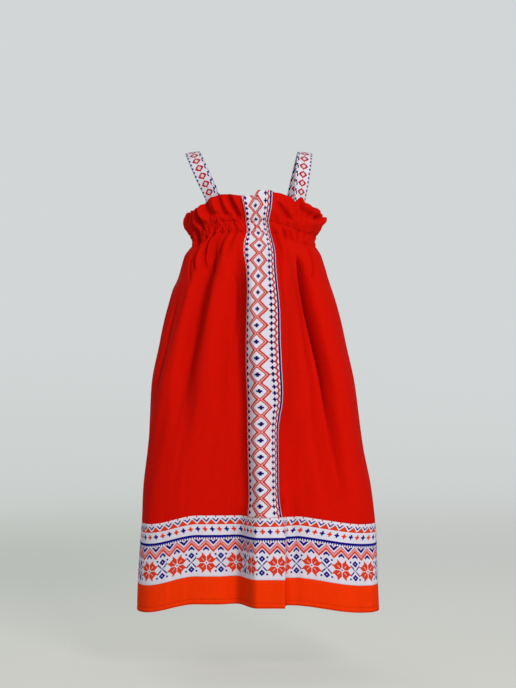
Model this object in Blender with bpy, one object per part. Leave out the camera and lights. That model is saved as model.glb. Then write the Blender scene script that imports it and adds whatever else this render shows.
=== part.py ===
"""Sarafan: a pinafore dress, gathered under a frilled heading and hung on two shoulder straps.

Metres, +Z up. The front faces -Y. The origin lies midway between the tops of the two straps,
at their undersides, where the shoulders carry the dress.

Every cloth piece is a wall cut from one surface, cloth_surface. A place on it is given by
round, the length of cloth round the dress from the middle of the front (right is positive),
and by down, the length of cloth below the top edge of the heading.
"""

import math
from typing import NamedTuple

import bpy
import numpy as np

# Cut of the cloth
REPEAT = 0.054
CLOTH_ROUND = 26 * REPEAT
HEADING = 0.050
CASING = 0.022
SKIRT = 0.510
BORDER = 0.110
HEM_BAND = 0.0495
BAND_WIDTH = 1.5 * REPEAT
STRAP_WIDTH = 0.028

CASING_TOP = HEADING
CASING_FOOT = CASING_TOP + CASING
BORDER_TOP = CASING_FOOT + SKIRT
HEM_BAND_TOP = BORDER_TOP + BORDER
HEM = HEM_BAND_TOP + HEM_BAND

# Walls
WALL = 0.0020
BAND_WALL = 0.0010
STRAP_WALL = 0.0016
SEAM_GAP = 0.0003

# Gathers, one to each coarse cell of the mesh: beside the band, under it, and on the back
SIDE_GATHERS = 26
BAND_GATHERS = 7
BACK_GATHERS = 58
RIGHT_GATHER_SHARE = 0.65
FRILL_WAVES = 28


class Ring(NamedTuple):
    """One level of the dress: its plan, and where the middle of the centre band lies.

    square_front and square_back are the powers of the two half outlines: 2 is an ellipse.
    left_spread and right_spread are the shares of its two half widths that its gathers leave.
    """

    down: float
    half_width: float
    front: float
    back: float
    centre: float
    square_front: float
    square_back: float
    band_x: float
    left_spread: float
    right_spread: float


RINGS = [
    Ring(0.000, 0.1160, 0.092, 0.091, 0.008, 2.2, 2.1, 0.0145, 0.66, 0.70),
    Ring(0.014, 0.1225, 0.096, 0.095, 0.009, 2.2, 2.1, 0.0150, 0.61, 0.68),
    Ring(0.028, 0.1250, 0.096, 0.095, 0.009, 2.2, 2.1, 0.0154, 0.56, 0.62),
    Ring(0.040, 0.1220, 0.092, 0.091, 0.008, 2.2, 2.1, 0.0156, 0.52, 0.54),
    Ring(0.050, 0.1150, 0.088, 0.087, 0.007, 2.2, 2.1, 0.0158, 0.51, 0.50),
    Ring(0.061, 0.1125, 0.087, 0.086, 0.007, 2.2, 2.1, 0.0178, 0.53, 0.47),
    Ring(0.072, 0.1150, 0.088, 0.087, 0.007, 2.2, 2.1, 0.0203, 0.58, 0.46),
    Ring(0.085, 0.1240, 0.092, 0.092, 0.006, 2.2, 2.1, 0.0222, 0.72, 0.50),
    Ring(0.105, 0.1310, 0.097, 0.098, 0.006, 2.3, 2.1, 0.0228, 0.86, 0.60),
    Ring(0.135, 0.1390, 0.102, 0.105, 0.006, 2.4, 2.1, 0.0210, 0.80, 0.73),
    Ring(0.170, 0.1500, 0.106, 0.112, 0.006, 2.5, 2.1, 0.0203, 0.84, 0.83),
    Ring(0.207, 0.1600, 0.110, 0.118, 0.006, 2.6, 2.1, 0.0195, 0.92, 0.92),
    Ring(0.263, 0.1715, 0.114, 0.127, 0.007, 2.9, 2.1, 0.0188, 1.00, 0.97),
    Ring(0.319, 0.1830, 0.117, 0.135, 0.008, 3.2, 2.1, 0.0202, 1.00, 1.00),
    Ring(0.375, 0.1885, 0.119, 0.143, 0.010, 3.5, 2.1, 0.0240, 1.00, 1.00),
    Ring(0.450, 0.1950, 0.121, 0.152, 0.013, 4.0, 2.1, 0.0238, 1.00, 1.00),
    Ring(0.520, 0.2055, 0.123, 0.160, 0.016, 4.4, 2.1, 0.0234, 1.00, 1.00),
    Ring(0.582, 0.2110, 0.124, 0.166, 0.018, 4.7, 2.1, 0.0236, 1.00, 1.00),
    Ring(0.692, 0.2170, 0.125, 0.175, 0.017, 5.0, 2.1, 0.0236, 1.00, 1.00),
    Ring(0.7415, 0.2190, 0.125, 0.178, 0.017, 5.0, 2.1, 0.0236, 1.00, 1.00),
]


class Level(NamedTuple):
    """Heights of one seam at the front, the sides and the back: the front is hitched up."""

    down: float
    z_front: float
    z_side: float
    z_back: float


LEVELS = [
    Level(0.0, -0.0810, -0.1060, -0.0850),
    Level(CASING_TOP, -0.1310, -0.1520, -0.1340),
    Level(CASING_FOOT, -0.1505, -0.1725, -0.1550),
    Level(BORDER_TOP, -0.6550, -0.6730, -0.6680),
    Level(HEM_BAND_TOP, -0.7630, -0.7820, -0.7770),
    Level(HEM, -0.8125, -0.8300, -0.8260),
]

# The droop to the sides starts at these shares of the half width, sooner on the right
DROOP_LEFT = 0.42
DROOP_RIGHT = 0.22
DROOP_FULL = 0.95


class Fold(NamedTuple):
    """A soft ridge (height above 0) or trough, running down the skirt.

    turn_top and turn_hem are degrees round from the front; left, right and flat are the
    widths of its two flanks and half its crest; it grows from starts to full and fades
    from fades to ends; lean tips its crest to the right.
    """

    name: str
    turn_top: float
    turn_hem: float
    left: float
    right: float
    flat: float
    height: float
    starts: float
    full: float
    fades: float
    ends: float
    lean: float


NEVER = 9.0
FOLDS = [
    Fold("centre_ridge", 6.8, 6.8, 0.036, 0.050, 0.014, 0.050, 0.08, 0.19, 0.33, 0.43, 0.0),
    Fold("band_ridge", 1.8, 1.8, 0.034, 0.054, 0.001, 0.046, 0.33, 0.44, 0.54, 0.62, 0.0),
    Fold("hem_pleat", 4.2, 4.2, 0.018, 0.011, 0.0235, 0.052, 0.54, 0.63, NEVER, NEVER, 0.006),
    Fold("right_shelf", 28.0, 27.0, 0.036, 0.050, 0.024, 0.009, 0.44, 0.66, NEVER, NEVER, 0.0),
    Fold("left_ridge", -20.0, -33.0, 0.022, 0.034, 0.002, 0.011, 0.08, 0.16, 0.30, 0.46, 0.0),
    Fold("left_trough", -35.0, -38.0, 0.026, 0.022, 0.002, -0.010, 0.07, 0.16, 0.28, 0.46, 0.0),
    Fold("right_trough", 36.0, 32.0, 0.022, 0.032, 0.000, -0.018, 0.08, 0.20, 0.48, 0.62, 0.0),
    Fold("right_hip_trough", 108.0, 104.0, 0.030, 0.030, 0.0, -0.011, 0.12, 0.46, NEVER, NEVER, 0.0),
    Fold("right_back_ridge", 128.0, 127.0, 0.028, 0.030, 0.006, 0.015, 0.10, 0.62, NEVER, NEVER, 0.006),
    Fold("right_back_trough", 148.0, 147.0, 0.024, 0.026, 0.0, -0.010, 0.09, 0.50, NEVER, NEVER, 0.0),
    Fold("middle_back_ridge", 171.0, 172.0, 0.030, 0.026, 0.008, 0.020, 0.11, 0.66, NEVER, NEVER, -0.006),
    Fold("middle_back_trough", -168.0, -166.0, 0.024, 0.028, 0.0, -0.009, 0.09, 0.44, NEVER, NEVER, 0.0),
    Fold("left_back_ridge", -143.0, -144.0, 0.032, 0.028, 0.006, 0.017, 0.12, 0.60, NEVER, NEVER, 0.005),
    Fold("left_back_trough", -122.0, -123.0, 0.026, 0.026, 0.0, -0.012, 0.10, 0.52, NEVER, NEVER, 0.0),
    Fold("left_hip_trough", -106.0, -102.0, 0.030, 0.032, 0.002, -0.009, 0.16, 0.60, NEVER, NEVER, 0.0),
]


class Gather(NamedTuple):
    """Depth of the fine gathers at one level."""

    down: float
    depth: float


GATHERS = [
    Gather(0.034, 0.0),
    Gather(0.050, 0.0030),
    Gather(0.061, 0.0042),
    Gather(0.072, 0.0036),
    Gather(0.086, 0.0024),
    Gather(0.104, 0.0012),
    Gather(0.128, 0.0),
]

# Rows of each piece, as lengths of cloth from the top edge
HEADING_ROWS = [0.0, 0.011, 0.024, 0.036]
GATHERED_ROWS = [0.047, 0.055, 0.066, 0.078, 0.096]
SKIRT_ROWS = [0.122, 0.160, 0.210, 0.270, 0.340, 0.410, 0.480, 0.535]
BORDER_ROWS = 2
HEM_BAND_ROWS = 1

RING_SAMPLES = 1440

# Straps: where each crosses the shoulder, and where its front and back legs stand in the heading
STRAP_TOP_X = 0.103
STRAP_FOOT_DOWN = 0.061
STRAP_SPRING_Z = -0.088
STRAP_FOOT_Z = -0.147
STRAP_INSET = WALL / 2 + SEAM_GAP + STRAP_WALL
STRAP_SHOULDER_TILT = 8.0
STRAP_SPRING_REACH = 0.89
STRAP_ROUNDING = 0.85
STRAP_CROWN = 5.0
STRAP_FEET = {"strap_left": (-0.066, -0.060), "strap_right": (0.093, 0.080)}
STRAP_ARCH_CELLS = 22
STRAP_LEG_CELLS = 4
STRAP_CELLS_ACROSS = 4


class Cloth(NamedTuple):
    """Colour and roughness of one cloth."""

    red: float
    green: float
    blue: float
    roughness: float


RED_CLOTH = Cloth(0.50, 0.006, 0.004, 0.75)
ORANGE_CLOTH = Cloth(0.75, 0.034, 0.006, 0.75)
WHITE_CLOTH = Cloth(0.68, 0.66, 0.72, 0.78)


def eased(rows, column, at):
    """A table's column read at a height, by cubic pieces that pass smoothly through its rows."""
    places = np.array([row.down for row in rows])
    values = np.array([getattr(row, column) for row in rows])
    slopes = np.gradient(values, places)
    at = np.clip(at, places[0], places[-1])
    low = np.clip(np.searchsorted(places, at, side="right") - 1, 0, len(rows) - 2)
    gap = places[low + 1] - places[low]
    s = (at - places[low]) / gap
    start = values[low] * (1 + 2 * s) * (1 - s) ** 2 + slopes[low] * gap * s * (1 - s) ** 2
    end = values[low + 1] * s * s * (3 - 2 * s) - slopes[low + 1] * gap * s * s * (1 - s)
    return start + end


def straight(rows, column, at):
    """A table's column read at a height, by straight lines between its rows."""
    places = [row.down for row in rows]
    values = [getattr(row, column) for row in rows]
    return np.interp(at, places, values)


def ramp(at, starts, full):
    """0 before starts, 1 after full, and a smooth rise between them."""
    s = np.clip((at - starts) / (full - starts), 0.0, 1.0)
    return s * s * (3 - 2 * s)


def fold_moves(turn, down):
    """How far the folds move the cloth outwards and to the right, at angles round and heights."""
    outwards = np.zeros(np.broadcast(turn, down).shape)
    rightwards = np.zeros_like(outwards)
    radius = eased(RINGS, "half_width", down)
    for fold in FOLDS:
        middle = np.radians(fold.turn_top + (fold.turn_hem - fold.turn_top) * down / HEM)
        away = (turn - middle + math.pi) % (2 * math.pi) - math.pi
        flank = np.where(away < 0, fold.left, fold.right)
        s = np.clip((np.abs(away) * radius - fold.flat) / flank, 0.0, 1.0)
        share = 0.5 + 0.5 * np.cos(math.pi * s)
        share = share * ramp(down, fold.starts, fold.full) * (1 - ramp(down, fold.fades, fold.ends + 0.01))
        outwards += fold.height * share
        rightwards += fold.lean * share
    return outwards, rightwards


def folded_ring(turn, down):
    """Points of the smooth folded cloth and its outward and rightward directions in plan.

    The plan is a superellipse: an ellipse at its angle, times a reach that squares it.
    """
    half = eased(RINGS, "half_width", down)
    at_front = np.cos(turn) > 0
    depth = np.where(at_front, eased(RINGS, "front", down), eased(RINGS, "back", down))
    power = np.where(at_front, eased(RINGS, "square_front", down), eased(RINGS, "square_back", down))
    sin, cos = np.sin(turn), np.cos(turn)
    reach = (np.abs(sin) ** power + np.abs(cos) ** power) ** (-1 / power)
    growth = np.abs(cos) ** (power - 1) * np.sign(cos) * sin - np.abs(sin) ** (power - 1) * np.sign(sin) * cos
    growth = growth * reach ** (power + 1)
    x = eased(RINGS, "centre", down) + half * sin * reach
    y = -depth * cos * reach
    middle_z = np.where(at_front, straight(LEVELS, "z_front", down), straight(LEVELS, "z_back", down))
    droop = ramp(np.abs(sin) * reach, np.where(sin < 0, DROOP_LEFT, DROOP_RIGHT), DROOP_FULL)
    z = middle_z + (straight(LEVELS, "z_side", down) - middle_z) * droop
    run_x = half * (cos * reach + sin * growth)
    run_y = depth * (sin * reach - cos * growth)
    length = np.hypot(run_x, run_y)
    right = np.stack([run_x / length, run_y / length, np.zeros_like(length)], -1)
    out = np.stack([run_y / length, -run_x / length, np.zeros_like(length)], -1)
    outwards, rightwards = fold_moves(turn, down)
    points = np.stack([x, y, z], -1) + out * outwards[..., None] + right * rightwards[..., None]
    return points, out, right


def turns_of(round_places, down):
    """Angles round the dress of places on the cloth at one height, by lengths along the folded ring.

    The middle of the centre band is at band_x, and the cloth is shared out evenly from each
    edge of the band to the middle of the back.
    """
    turn = np.linspace(-math.pi, math.pi, RING_SAMPLES + 1)
    level = np.full_like(turn, down)
    points, _, _ = folded_ring(turn, level)
    plan = points[:, :2]
    run = np.concatenate([[0.0], np.cumsum(np.linalg.norm(np.diff(plan, axis=0), axis=1))])
    near = np.abs(turn) < math.radians(25)
    band = turn[near][np.argmin(np.abs(plan[near, 0] - eased(RINGS, "band_x", np.array(down))))]
    band_run = np.interp(band, turn, run)
    half_band = BAND_WIDTH / 2
    left_reach = half_band * eased(RINGS, "left_spread", np.array(down))
    right_reach = half_band * eased(RINGS, "right_spread", np.array(down))
    half_cloth = CLOTH_ROUND / 2
    marks = [-half_cloth, -half_band, 0.0, half_band, half_cloth]
    runs = [0.0, band_run - left_reach, band_run, band_run + right_reach, run[-1]]
    return np.interp(np.interp(round_places, marks, runs), run, turn)


def frill_wave(turn, round_places, down):
    """Outward waves of the heading, largest at its top edge and uneven round the dress."""
    phase = 2 * math.pi * round_places / CLOTH_ROUND
    wave = np.sin(FRILL_WAVES * phase + 0.9 * np.sin(3 * phase + 0.4) + 0.7 * np.sin(5 * phase + 1.9))
    size = 0.0062 * (1 + 0.3 * np.sin(4 * phase + 2.1) + 0.2 * np.sin(7 * phase))
    calm = 1 - 0.6 * np.exp(-(((turn - math.radians(24)) / 0.30) ** 2))
    under_band = 1 - 0.7 * np.exp(-((round_places / (0.7 * BAND_WIDTH)) ** 4))
    return wave * size * calm * under_band * (1 - ramp(down, 0.012, CASING_TOP))


def cloth_surface(round_places, rows):
    """Points of the middle of the cloth, a row of places round for each height down."""
    grid = []
    for down in rows:
        turn = turns_of(round_places, down)
        level = np.full_like(turn, down)
        points, out, _ = folded_ring(turn, level)
        grid.append(points + out * frill_wave(turn, round_places, level)[:, None])
    return np.array(grid)


def normals(grid):
    """Outward unit normals of a grid that closes round the dress."""
    across = np.roll(grid, -1, axis=1) - np.roll(grid, 1, axis=1)
    along = np.gradient(grid, axis=0)
    facing = np.cross(along, across)
    return facing / np.linalg.norm(facing, axis=2, keepdims=True)


def gather_depth(round_places, down):
    """How far a gather stands out at its crest, shallower on the right of the front."""
    right = (round_places > BAND_WIDTH / 2) & (round_places < CLOTH_ROUND / 4)
    depth = eased(GATHERS, "depth", np.array(down))
    inside = GATHERS[0].down < down < GATHERS[-1].down
    return np.where(right, RIGHT_GATHER_SHARE, 1.0) * depth * inside


def cloth_marks():
    """Places round the dress of the mesh's coarse columns, from one side seam right round to it again."""
    seam = CLOTH_ROUND / 4
    band = BAND_WIDTH / 2
    left = np.linspace(-seam, -band, SIDE_GATHERS + 1)
    middle = np.linspace(-band, band, BAND_GATHERS + 1)
    right = np.linspace(band, seam, SIDE_GATHERS + 1)
    back = np.linspace(seam, 3 * seam, BACK_GATHERS + 1)
    return np.concatenate([left[:-1], middle[:-1], right[:-1], back[:-1]])


def with_crests(marks):
    """Coarse columns with the crest of one gather put between each two."""
    following = np.append(marks[1:], marks[0] + CLOTH_ROUND)
    return np.stack([marks, (marks + following) / 2], 1).ravel()


def level_rows():
    """Heights of every row, with two rows 0.3 mm apart at each seam between two pieces."""
    gap = SEAM_GAP / 2
    border = np.linspace(BORDER_TOP + gap, HEM_BAND_TOP - gap, BORDER_ROWS + 1)
    hem_band = np.linspace(HEM_BAND_TOP + gap, HEM, HEM_BAND_ROWS + 1)
    panel = HEADING_ROWS + GATHERED_ROWS + SKIRT_ROWS + [BORDER_TOP - gap]
    return np.array(panel), border, hem_band


class Wall:
    """The two faces of the cloth all round, with a crest column between each two coarse ones."""

    def __init__(self, rows):
        self.rows = rows
        places = with_crests(cloth_marks())
        wrapped = (places + CLOTH_ROUND / 2) % CLOTH_ROUND - CLOTH_ROUND / 2
        order = np.argsort(wrapped)
        middle = np.empty((len(rows), len(places), 3))
        middle[:, order] = cloth_surface(wrapped[order], rows)
        facing = normals(middle)
        raised = np.zeros((len(rows), len(places), 1))
        for row, down in enumerate(rows):
            raised[row, 1::2, 0] = gather_depth(wrapped[1::2], down)
        self.outer = middle + facing * (WALL / 2 + raised)
        self.inner = middle - facing * (WALL / 2)
        self.facing = facing


class Mesh:
    """Points and faces gathered up for one closed piece."""

    def __init__(self):
        self.points = []
        self.faces = []

    def add_row(self, row):
        """Add a row of points and return their numbers."""
        first = len(self.points)
        self.points.extend(row.tolist())
        return list(range(first, first + len(row)))

    def stitch(self, upper, lower, flip):
        """Join two rows of points, of one count or with a crest between each two on one of them."""
        faces = []
        if len(upper) == len(lower):
            for a, b, c, d in zip(upper, upper[1:], lower[1:], lower):
                faces.append((a, d, c, b))
        elif len(upper) > len(lower):
            for i in range(len(lower) - 1):
                a, m, b = upper[2 * i : 2 * i + 3]
                faces += [(a, lower[i], m), (m, lower[i], lower[i + 1]), (m, lower[i + 1], b)]
        else:
            for i in range(len(upper) - 1):
                a, m, b = lower[2 * i : 2 * i + 3]
                faces += [(upper[i], a, m), (upper[i], m, upper[i + 1]), (upper[i + 1], m, b)]
        self.faces += [(face[0], *face[:0:-1]) for face in faces] if flip else faces

    def close(self, outer, inner):
        """Faces of a wall from its outer and inner rows of point numbers, rims included."""
        for upper, lower in zip(outer, outer[1:]):
            self.stitch(upper, lower, False)
        for upper, lower in zip(inner, inner[1:]):
            self.stitch(upper, lower, True)
        self.stitch(outer[0], inner[0], True)
        self.stitch(outer[-1], inner[-1], False)
        for side, flip in ((0, False), (-1, True)):
            self.stitch([row[side] for row in outer], [row[side] for row in inner], flip)


def make_object(name, mesh, material):
    """A named object holding one closed piece, shaded smooth except at its sharp rims."""
    data = bpy.data.meshes.new(name)
    data.from_pydata(mesh.points, [], mesh.faces)
    data.update()
    data.shade_smooth()
    data.set_sharp_from_angle(angle=math.radians(50))
    data.materials.append(material)
    piece = bpy.data.objects.new(name, data)
    bpy.context.scene.collection.objects.link(piece)
    return piece


def make_material(name, cloth):
    """A plain woven finish."""
    material = bpy.data.materials.new(name)
    material.use_nodes = True
    shader = material.node_tree.nodes["Principled BSDF"]
    shader.inputs["Base Color"].default_value = (cloth.red, cloth.green, cloth.blue, 1.0)
    shader.inputs["Roughness"].default_value = cloth.roughness
    shader.inputs["Metallic"].default_value = 0.0
    return material


def closed_columns(grid, first, count):
    """A run of coarse and crest columns that may pass the seam where the grid begins."""
    return np.take(grid, range(first, first + count + 1), axis=1, mode="wrap")


def part_seam(grid):
    """Draw the two end columns in by half a seam's gap."""
    for end, inside in ((0, 1), (-1, -2)):
        step = grid[:, inside] - grid[:, end]
        step /= np.linalg.norm(step, axis=1, keepdims=True)
        grid[:, end] += step * (SEAM_GAP / 2)
    return grid


def make_panel(name, wall, first, count, material):
    """One cloth piece cut from the wall: columns from first on, fine only where it is gathered."""
    outer_grid = part_seam(closed_columns(wall.outer, first, count))
    inner_grid = part_seam(closed_columns(wall.inner, first, count))
    mesh = Mesh()
    outer = []
    for row, down in enumerate(wall.rows):
        step = 1 if down in GATHERED_ROWS else 2
        outer.append(mesh.add_row(outer_grid[row, ::step]))
    inner = [mesh.add_row(row[::2]) for row in inner_grid]
    mesh.close(outer, inner)
    return make_object(name, mesh, material)


def make_band(name, wall, material):
    """The centre band, laid on the front panel's outer points and moved out from them."""
    first = 2 * SIDE_GATHERS
    grid = closed_columns(wall.outer, first, 2 * BAND_GATHERS)
    facing = normals(wall.outer)[:, first : first + 2 * BAND_GATHERS + 1]
    mesh = Mesh()
    outer, inner = [], []
    for rows, out in ((outer, SEAM_GAP + BAND_WALL), (inner, SEAM_GAP)):
        for row, down in enumerate(wall.rows):
            step = 1 if down in GATHERED_ROWS else 2
            rows.append(mesh.add_row((grid[row] + facing[row] * out)[::step]))
    mesh.close(outer, inner)
    return make_object(name, mesh, material)


def strap_foot(x, at_front):
    """Plan place and rightward direction of a strap's leg, standing just inside the casing."""
    turn = np.radians(np.linspace(-88, 88, RING_SAMPLES)) + (0.0 if at_front else math.pi)
    points, out, right = folded_ring(turn, np.full_like(turn, STRAP_FOOT_DOWN))
    plan = points - out * STRAP_INSET
    nearest = np.argmin(np.abs(plan[:, 0] - x))
    return plan[nearest, 1], right[nearest] * (1 if at_front else -1)


def strap_path(front_x, back_x, top_x):
    """Middle line of a strap: up its front leg, over the shoulder in an arch, and down its back leg."""
    front_y, front_right = strap_foot(front_x, True)
    back_y, back_right = strap_foot(back_x, False)
    angle = np.linspace(0, math.pi, STRAP_ARCH_CELLS + 1)
    reach = np.abs(np.cos(angle)) ** STRAP_ROUNDING
    rise = 1 - np.sin(angle) ** STRAP_ROUNDING
    leg = np.linspace(STRAP_FOOT_Z, STRAP_SPRING_Z, STRAP_LEG_CELLS + 1)[:-1]
    upright = np.ones(STRAP_LEG_CELLS)
    lean = np.linspace(1.0, STRAP_SPRING_REACH, STRAP_LEG_CELLS + 1)[:-1]
    reach = np.concatenate([lean, STRAP_SPRING_REACH * reach, lean[::-1]])
    at_front = np.arange(len(reach)) <= len(reach) // 2
    slant = np.concatenate([upright, rise, upright])
    y = np.where(at_front, front_y, back_y) * reach
    x = top_x + (np.where(at_front, front_x, back_x) - top_x) * slant
    z = np.concatenate([leg, STRAP_SPRING_Z * rise, leg[::-1]])
    return np.stack([x, y, z], 1), front_right, back_right


def make_strap(name, material):
    """One shoulder strap: a flat band with a slight crown, curved to the heading at both ends."""
    front_x, back_x = STRAP_FEET[name]
    side = -1 if front_x < 0 else 1
    path, front_right, back_right = strap_path(front_x, back_x, side * STRAP_TOP_X)
    along = np.gradient(path, axis=0)
    along /= np.linalg.norm(along, axis=1, keepdims=True)
    tilt = math.radians(STRAP_SHOULDER_TILT)
    shoulder = np.array([math.cos(tilt), 0.0, -side * math.sin(tilt)])
    height = np.clip(1 - path[:, 2] / STRAP_SPRING_Z, 0.0, 1.0)[:, None]
    at_leg = np.where(path[:, 1:2] < 0, front_right, back_right)
    across = at_leg * (1 - height) + shoulder * height
    across -= along * np.sum(across * along, axis=1, keepdims=True)
    across /= np.linalg.norm(across, axis=1, keepdims=True)
    facing = np.cross(across, along)
    places = np.linspace(-STRAP_WIDTH / 2, STRAP_WIDTH / 2, STRAP_CELLS_ACROSS + 1)
    mesh = Mesh()
    outer, inner = [], []
    for rows, out in ((outer, STRAP_WALL), (inner, 0.0)):
        for point, sideways, away in zip(path, across, facing):
            crown = out - STRAP_CROWN * places**2
            grid = point + places[:, None] * sideways + crown[:, None] * away
            rows.append(mesh.add_row(grid))
    mesh.close(outer[::-1], inner[::-1])
    return make_object(name, mesh, material)


def main():
    """Build every piece of the dress."""
    for old in list(bpy.data.objects):
        bpy.data.objects.remove(old)
    red = make_material("red_cloth", RED_CLOTH)
    orange = make_material("orange_cloth", ORANGE_CLOTH)
    white = make_material("patterned_cloth", WHITE_CLOTH)
    panel_rows, border_rows, hem_band_rows = level_rows()
    front_columns = 2 * (2 * SIDE_GATHERS + BAND_GATHERS)
    back_columns = 2 * BACK_GATHERS
    pieces = (("panel", panel_rows, red), ("border", border_rows, white), ("hem_band", hem_band_rows, orange))
    for name, rows, material in pieces:
        wall = Wall(rows)
        make_panel("front_" + name, wall, 0, front_columns, material)
        make_panel("back_" + name, wall, front_columns, back_columns, material)
        if name == "panel":
            make_band("centre_band", wall, white)
    for name in STRAP_FEET:
        make_strap(name, white)


main()
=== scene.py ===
"""A child's sarafan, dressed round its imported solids: gathered red cloth, patterned bands, an orange hem.

Metres, +Z up. The front faces -Y, and the origin lies midway between the tops of the straps, at
their undersides. A spot on the cloth is given by place, the length of cloth round the dress from
the middle of the front (right is positive), and by down, the length of cloth below the top edge.
"""

import logging
import math
from dataclasses import dataclass, field
from enum import Enum
from typing import Callable, Iterable, Iterator, NamedTuple, Optional, Sequence, Union

import bpy
import numpy as np
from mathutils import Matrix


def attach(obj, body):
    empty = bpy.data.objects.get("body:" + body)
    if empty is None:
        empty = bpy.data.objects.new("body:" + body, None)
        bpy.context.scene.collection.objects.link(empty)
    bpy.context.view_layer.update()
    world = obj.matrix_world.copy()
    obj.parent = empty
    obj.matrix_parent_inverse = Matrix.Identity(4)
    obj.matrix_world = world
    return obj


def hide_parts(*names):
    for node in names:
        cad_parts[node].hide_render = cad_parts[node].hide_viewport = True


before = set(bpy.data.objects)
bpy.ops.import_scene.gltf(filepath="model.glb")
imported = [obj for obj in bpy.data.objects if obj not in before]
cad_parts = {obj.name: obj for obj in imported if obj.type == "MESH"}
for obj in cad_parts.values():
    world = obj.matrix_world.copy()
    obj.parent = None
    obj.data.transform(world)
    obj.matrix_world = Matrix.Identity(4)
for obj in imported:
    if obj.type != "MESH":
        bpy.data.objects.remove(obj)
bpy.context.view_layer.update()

log = logging.getLogger("sarafan")

Array = np.ndarray
Colour = tuple[float, float, float]
Material = bpy.types.Material
Piece = bpy.types.Object
Socket = bpy.types.NodeSocket
Tree = bpy.types.NodeTree


# The cut and the worn form


@dataclass(frozen=True)
class Cut:
    """Flat sizes of the cloth, from the heading's edge down, and round the dress."""

    repeat: float = 0.054
    repeats: int = 26
    heading: float = 0.050
    casing: float = 0.022
    skirt: float = 0.510
    border: float = 0.110
    hem_band: float = 0.0495
    band_width: float = 0.081
    strap_width: float = 0.028

    @property
    def around(self) -> float:
        """Length of the cloth all round."""
        return self.repeat * self.repeats

    @property
    def side(self) -> float:
        """Place of the right side seam; the left one is at its negative."""
        return self.around / 4

    @property
    def casing_foot(self) -> float:
        """Lower stitch line of the casing."""
        return self.heading + self.casing

    @property
    def border_top(self) -> float:
        """Seam between the red panel and the border."""
        return self.casing_foot + self.skirt

    @property
    def hem_band_top(self) -> float:
        """Seam between the border and the hem band."""
        return self.border_top + self.border

    @property
    def hem(self) -> float:
        """Lower edge of the dress."""
        return self.hem_band_top + self.hem_band


CUT = Cut()
WALL = 0.0020
SEAM_GAP = 0.00006
CLOTH_THICKNESS = 0.0006
NEVER = 9.0
ANY_PHASE = (0, 6.3)


def table(kind: Callable[..., NamedTuple], *rows: tuple[float, ...]) -> tuple[NamedTuple, ...]:
    """Make a table whose numbers are given in millimetres."""
    return tuple(kind(*(number / 1000 for number in row)) for row in rows)


class Ring(NamedTuple):
    """One level of the dress: its plan, and where the middle of the centre band lies.

    square is the power of the front half's outline: 2 is an ellipse. left_spread and
    right_spread are the shares of the band's two half widths that its gathers leave.
    """

    down: float
    half_width: float
    front: float
    back: float
    centre: float
    square: float
    band_x: float
    left_spread: float
    right_spread: float


RINGS = (
    Ring(0.000, 0.1160, 0.092, 0.091, 0.008, 2.2, 0.0145, 0.66, 0.70),
    Ring(0.014, 0.1225, 0.096, 0.095, 0.009, 2.2, 0.0150, 0.61, 0.68),
    Ring(0.028, 0.1250, 0.096, 0.095, 0.009, 2.2, 0.0154, 0.56, 0.62),
    Ring(0.040, 0.1220, 0.092, 0.091, 0.008, 2.2, 0.0156, 0.52, 0.54),
    Ring(0.050, 0.1150, 0.088, 0.087, 0.007, 2.2, 0.0158, 0.51, 0.50),
    Ring(0.061, 0.1125, 0.087, 0.086, 0.007, 2.2, 0.0178, 0.53, 0.47),
    Ring(0.072, 0.1150, 0.088, 0.087, 0.007, 2.2, 0.0203, 0.58, 0.46),
    Ring(0.085, 0.1240, 0.092, 0.092, 0.006, 2.2, 0.0222, 0.72, 0.50),
    Ring(0.105, 0.1310, 0.097, 0.098, 0.006, 2.3, 0.0228, 0.79, 0.60),
    Ring(0.135, 0.1390, 0.102, 0.105, 0.006, 2.4, 0.0210, 0.67, 0.69),
    Ring(0.170, 0.1500, 0.106, 0.112, 0.006, 2.5, 0.0203, 0.66, 0.79),
    Ring(0.207, 0.1600, 0.110, 0.118, 0.006, 2.6, 0.0195, 0.72, 0.92),
    Ring(0.263, 0.1715, 0.114, 0.127, 0.007, 2.9, 0.0188, 0.86, 0.97),
    Ring(0.319, 0.1830, 0.117, 0.135, 0.008, 3.2, 0.0202, 0.98, 1.00),
    Ring(0.375, 0.1885, 0.119, 0.143, 0.010, 3.5, 0.0262, 1.05, 0.95),
    Ring(0.450, 0.1950, 0.121, 0.152, 0.013, 4.0, 0.0268, 1.07, 0.93),
    Ring(0.520, 0.2055, 0.123, 0.160, 0.016, 4.4, 0.0264, 1.07, 0.93),
    Ring(0.582, 0.2110, 0.124, 0.166, 0.018, 4.7, 0.0256, 1.04, 0.96),
    Ring(0.692, 0.2170, 0.125, 0.175, 0.017, 5.0, 0.0236, 0.91, 1.00),
    Ring(0.7415, 0.2190, 0.125, 0.178, 0.017, 5.0, 0.0236, 0.91, 1.00),
)
SQUARE_BACK = 2.1


class Level(NamedTuple):
    """Heights of one seam at the front, the sides and the back: the front is hitched up."""

    down: float
    z_front: float
    z_side: float
    z_back: float


LEVELS = table(
    Level,
    (0, -81, -106, -85),
    (50, -131, -152, -134),
    (72, -150.5, -172.5, -155),
    (582, -655, -673, -668),
    (692, -763, -782, -777),
    (741.5, -812.5, -830, -826),
)
DROOP_LEFT, DROOP_RIGHT, DROOP_FULL = 0.50, 0.22, 0.95


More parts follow.
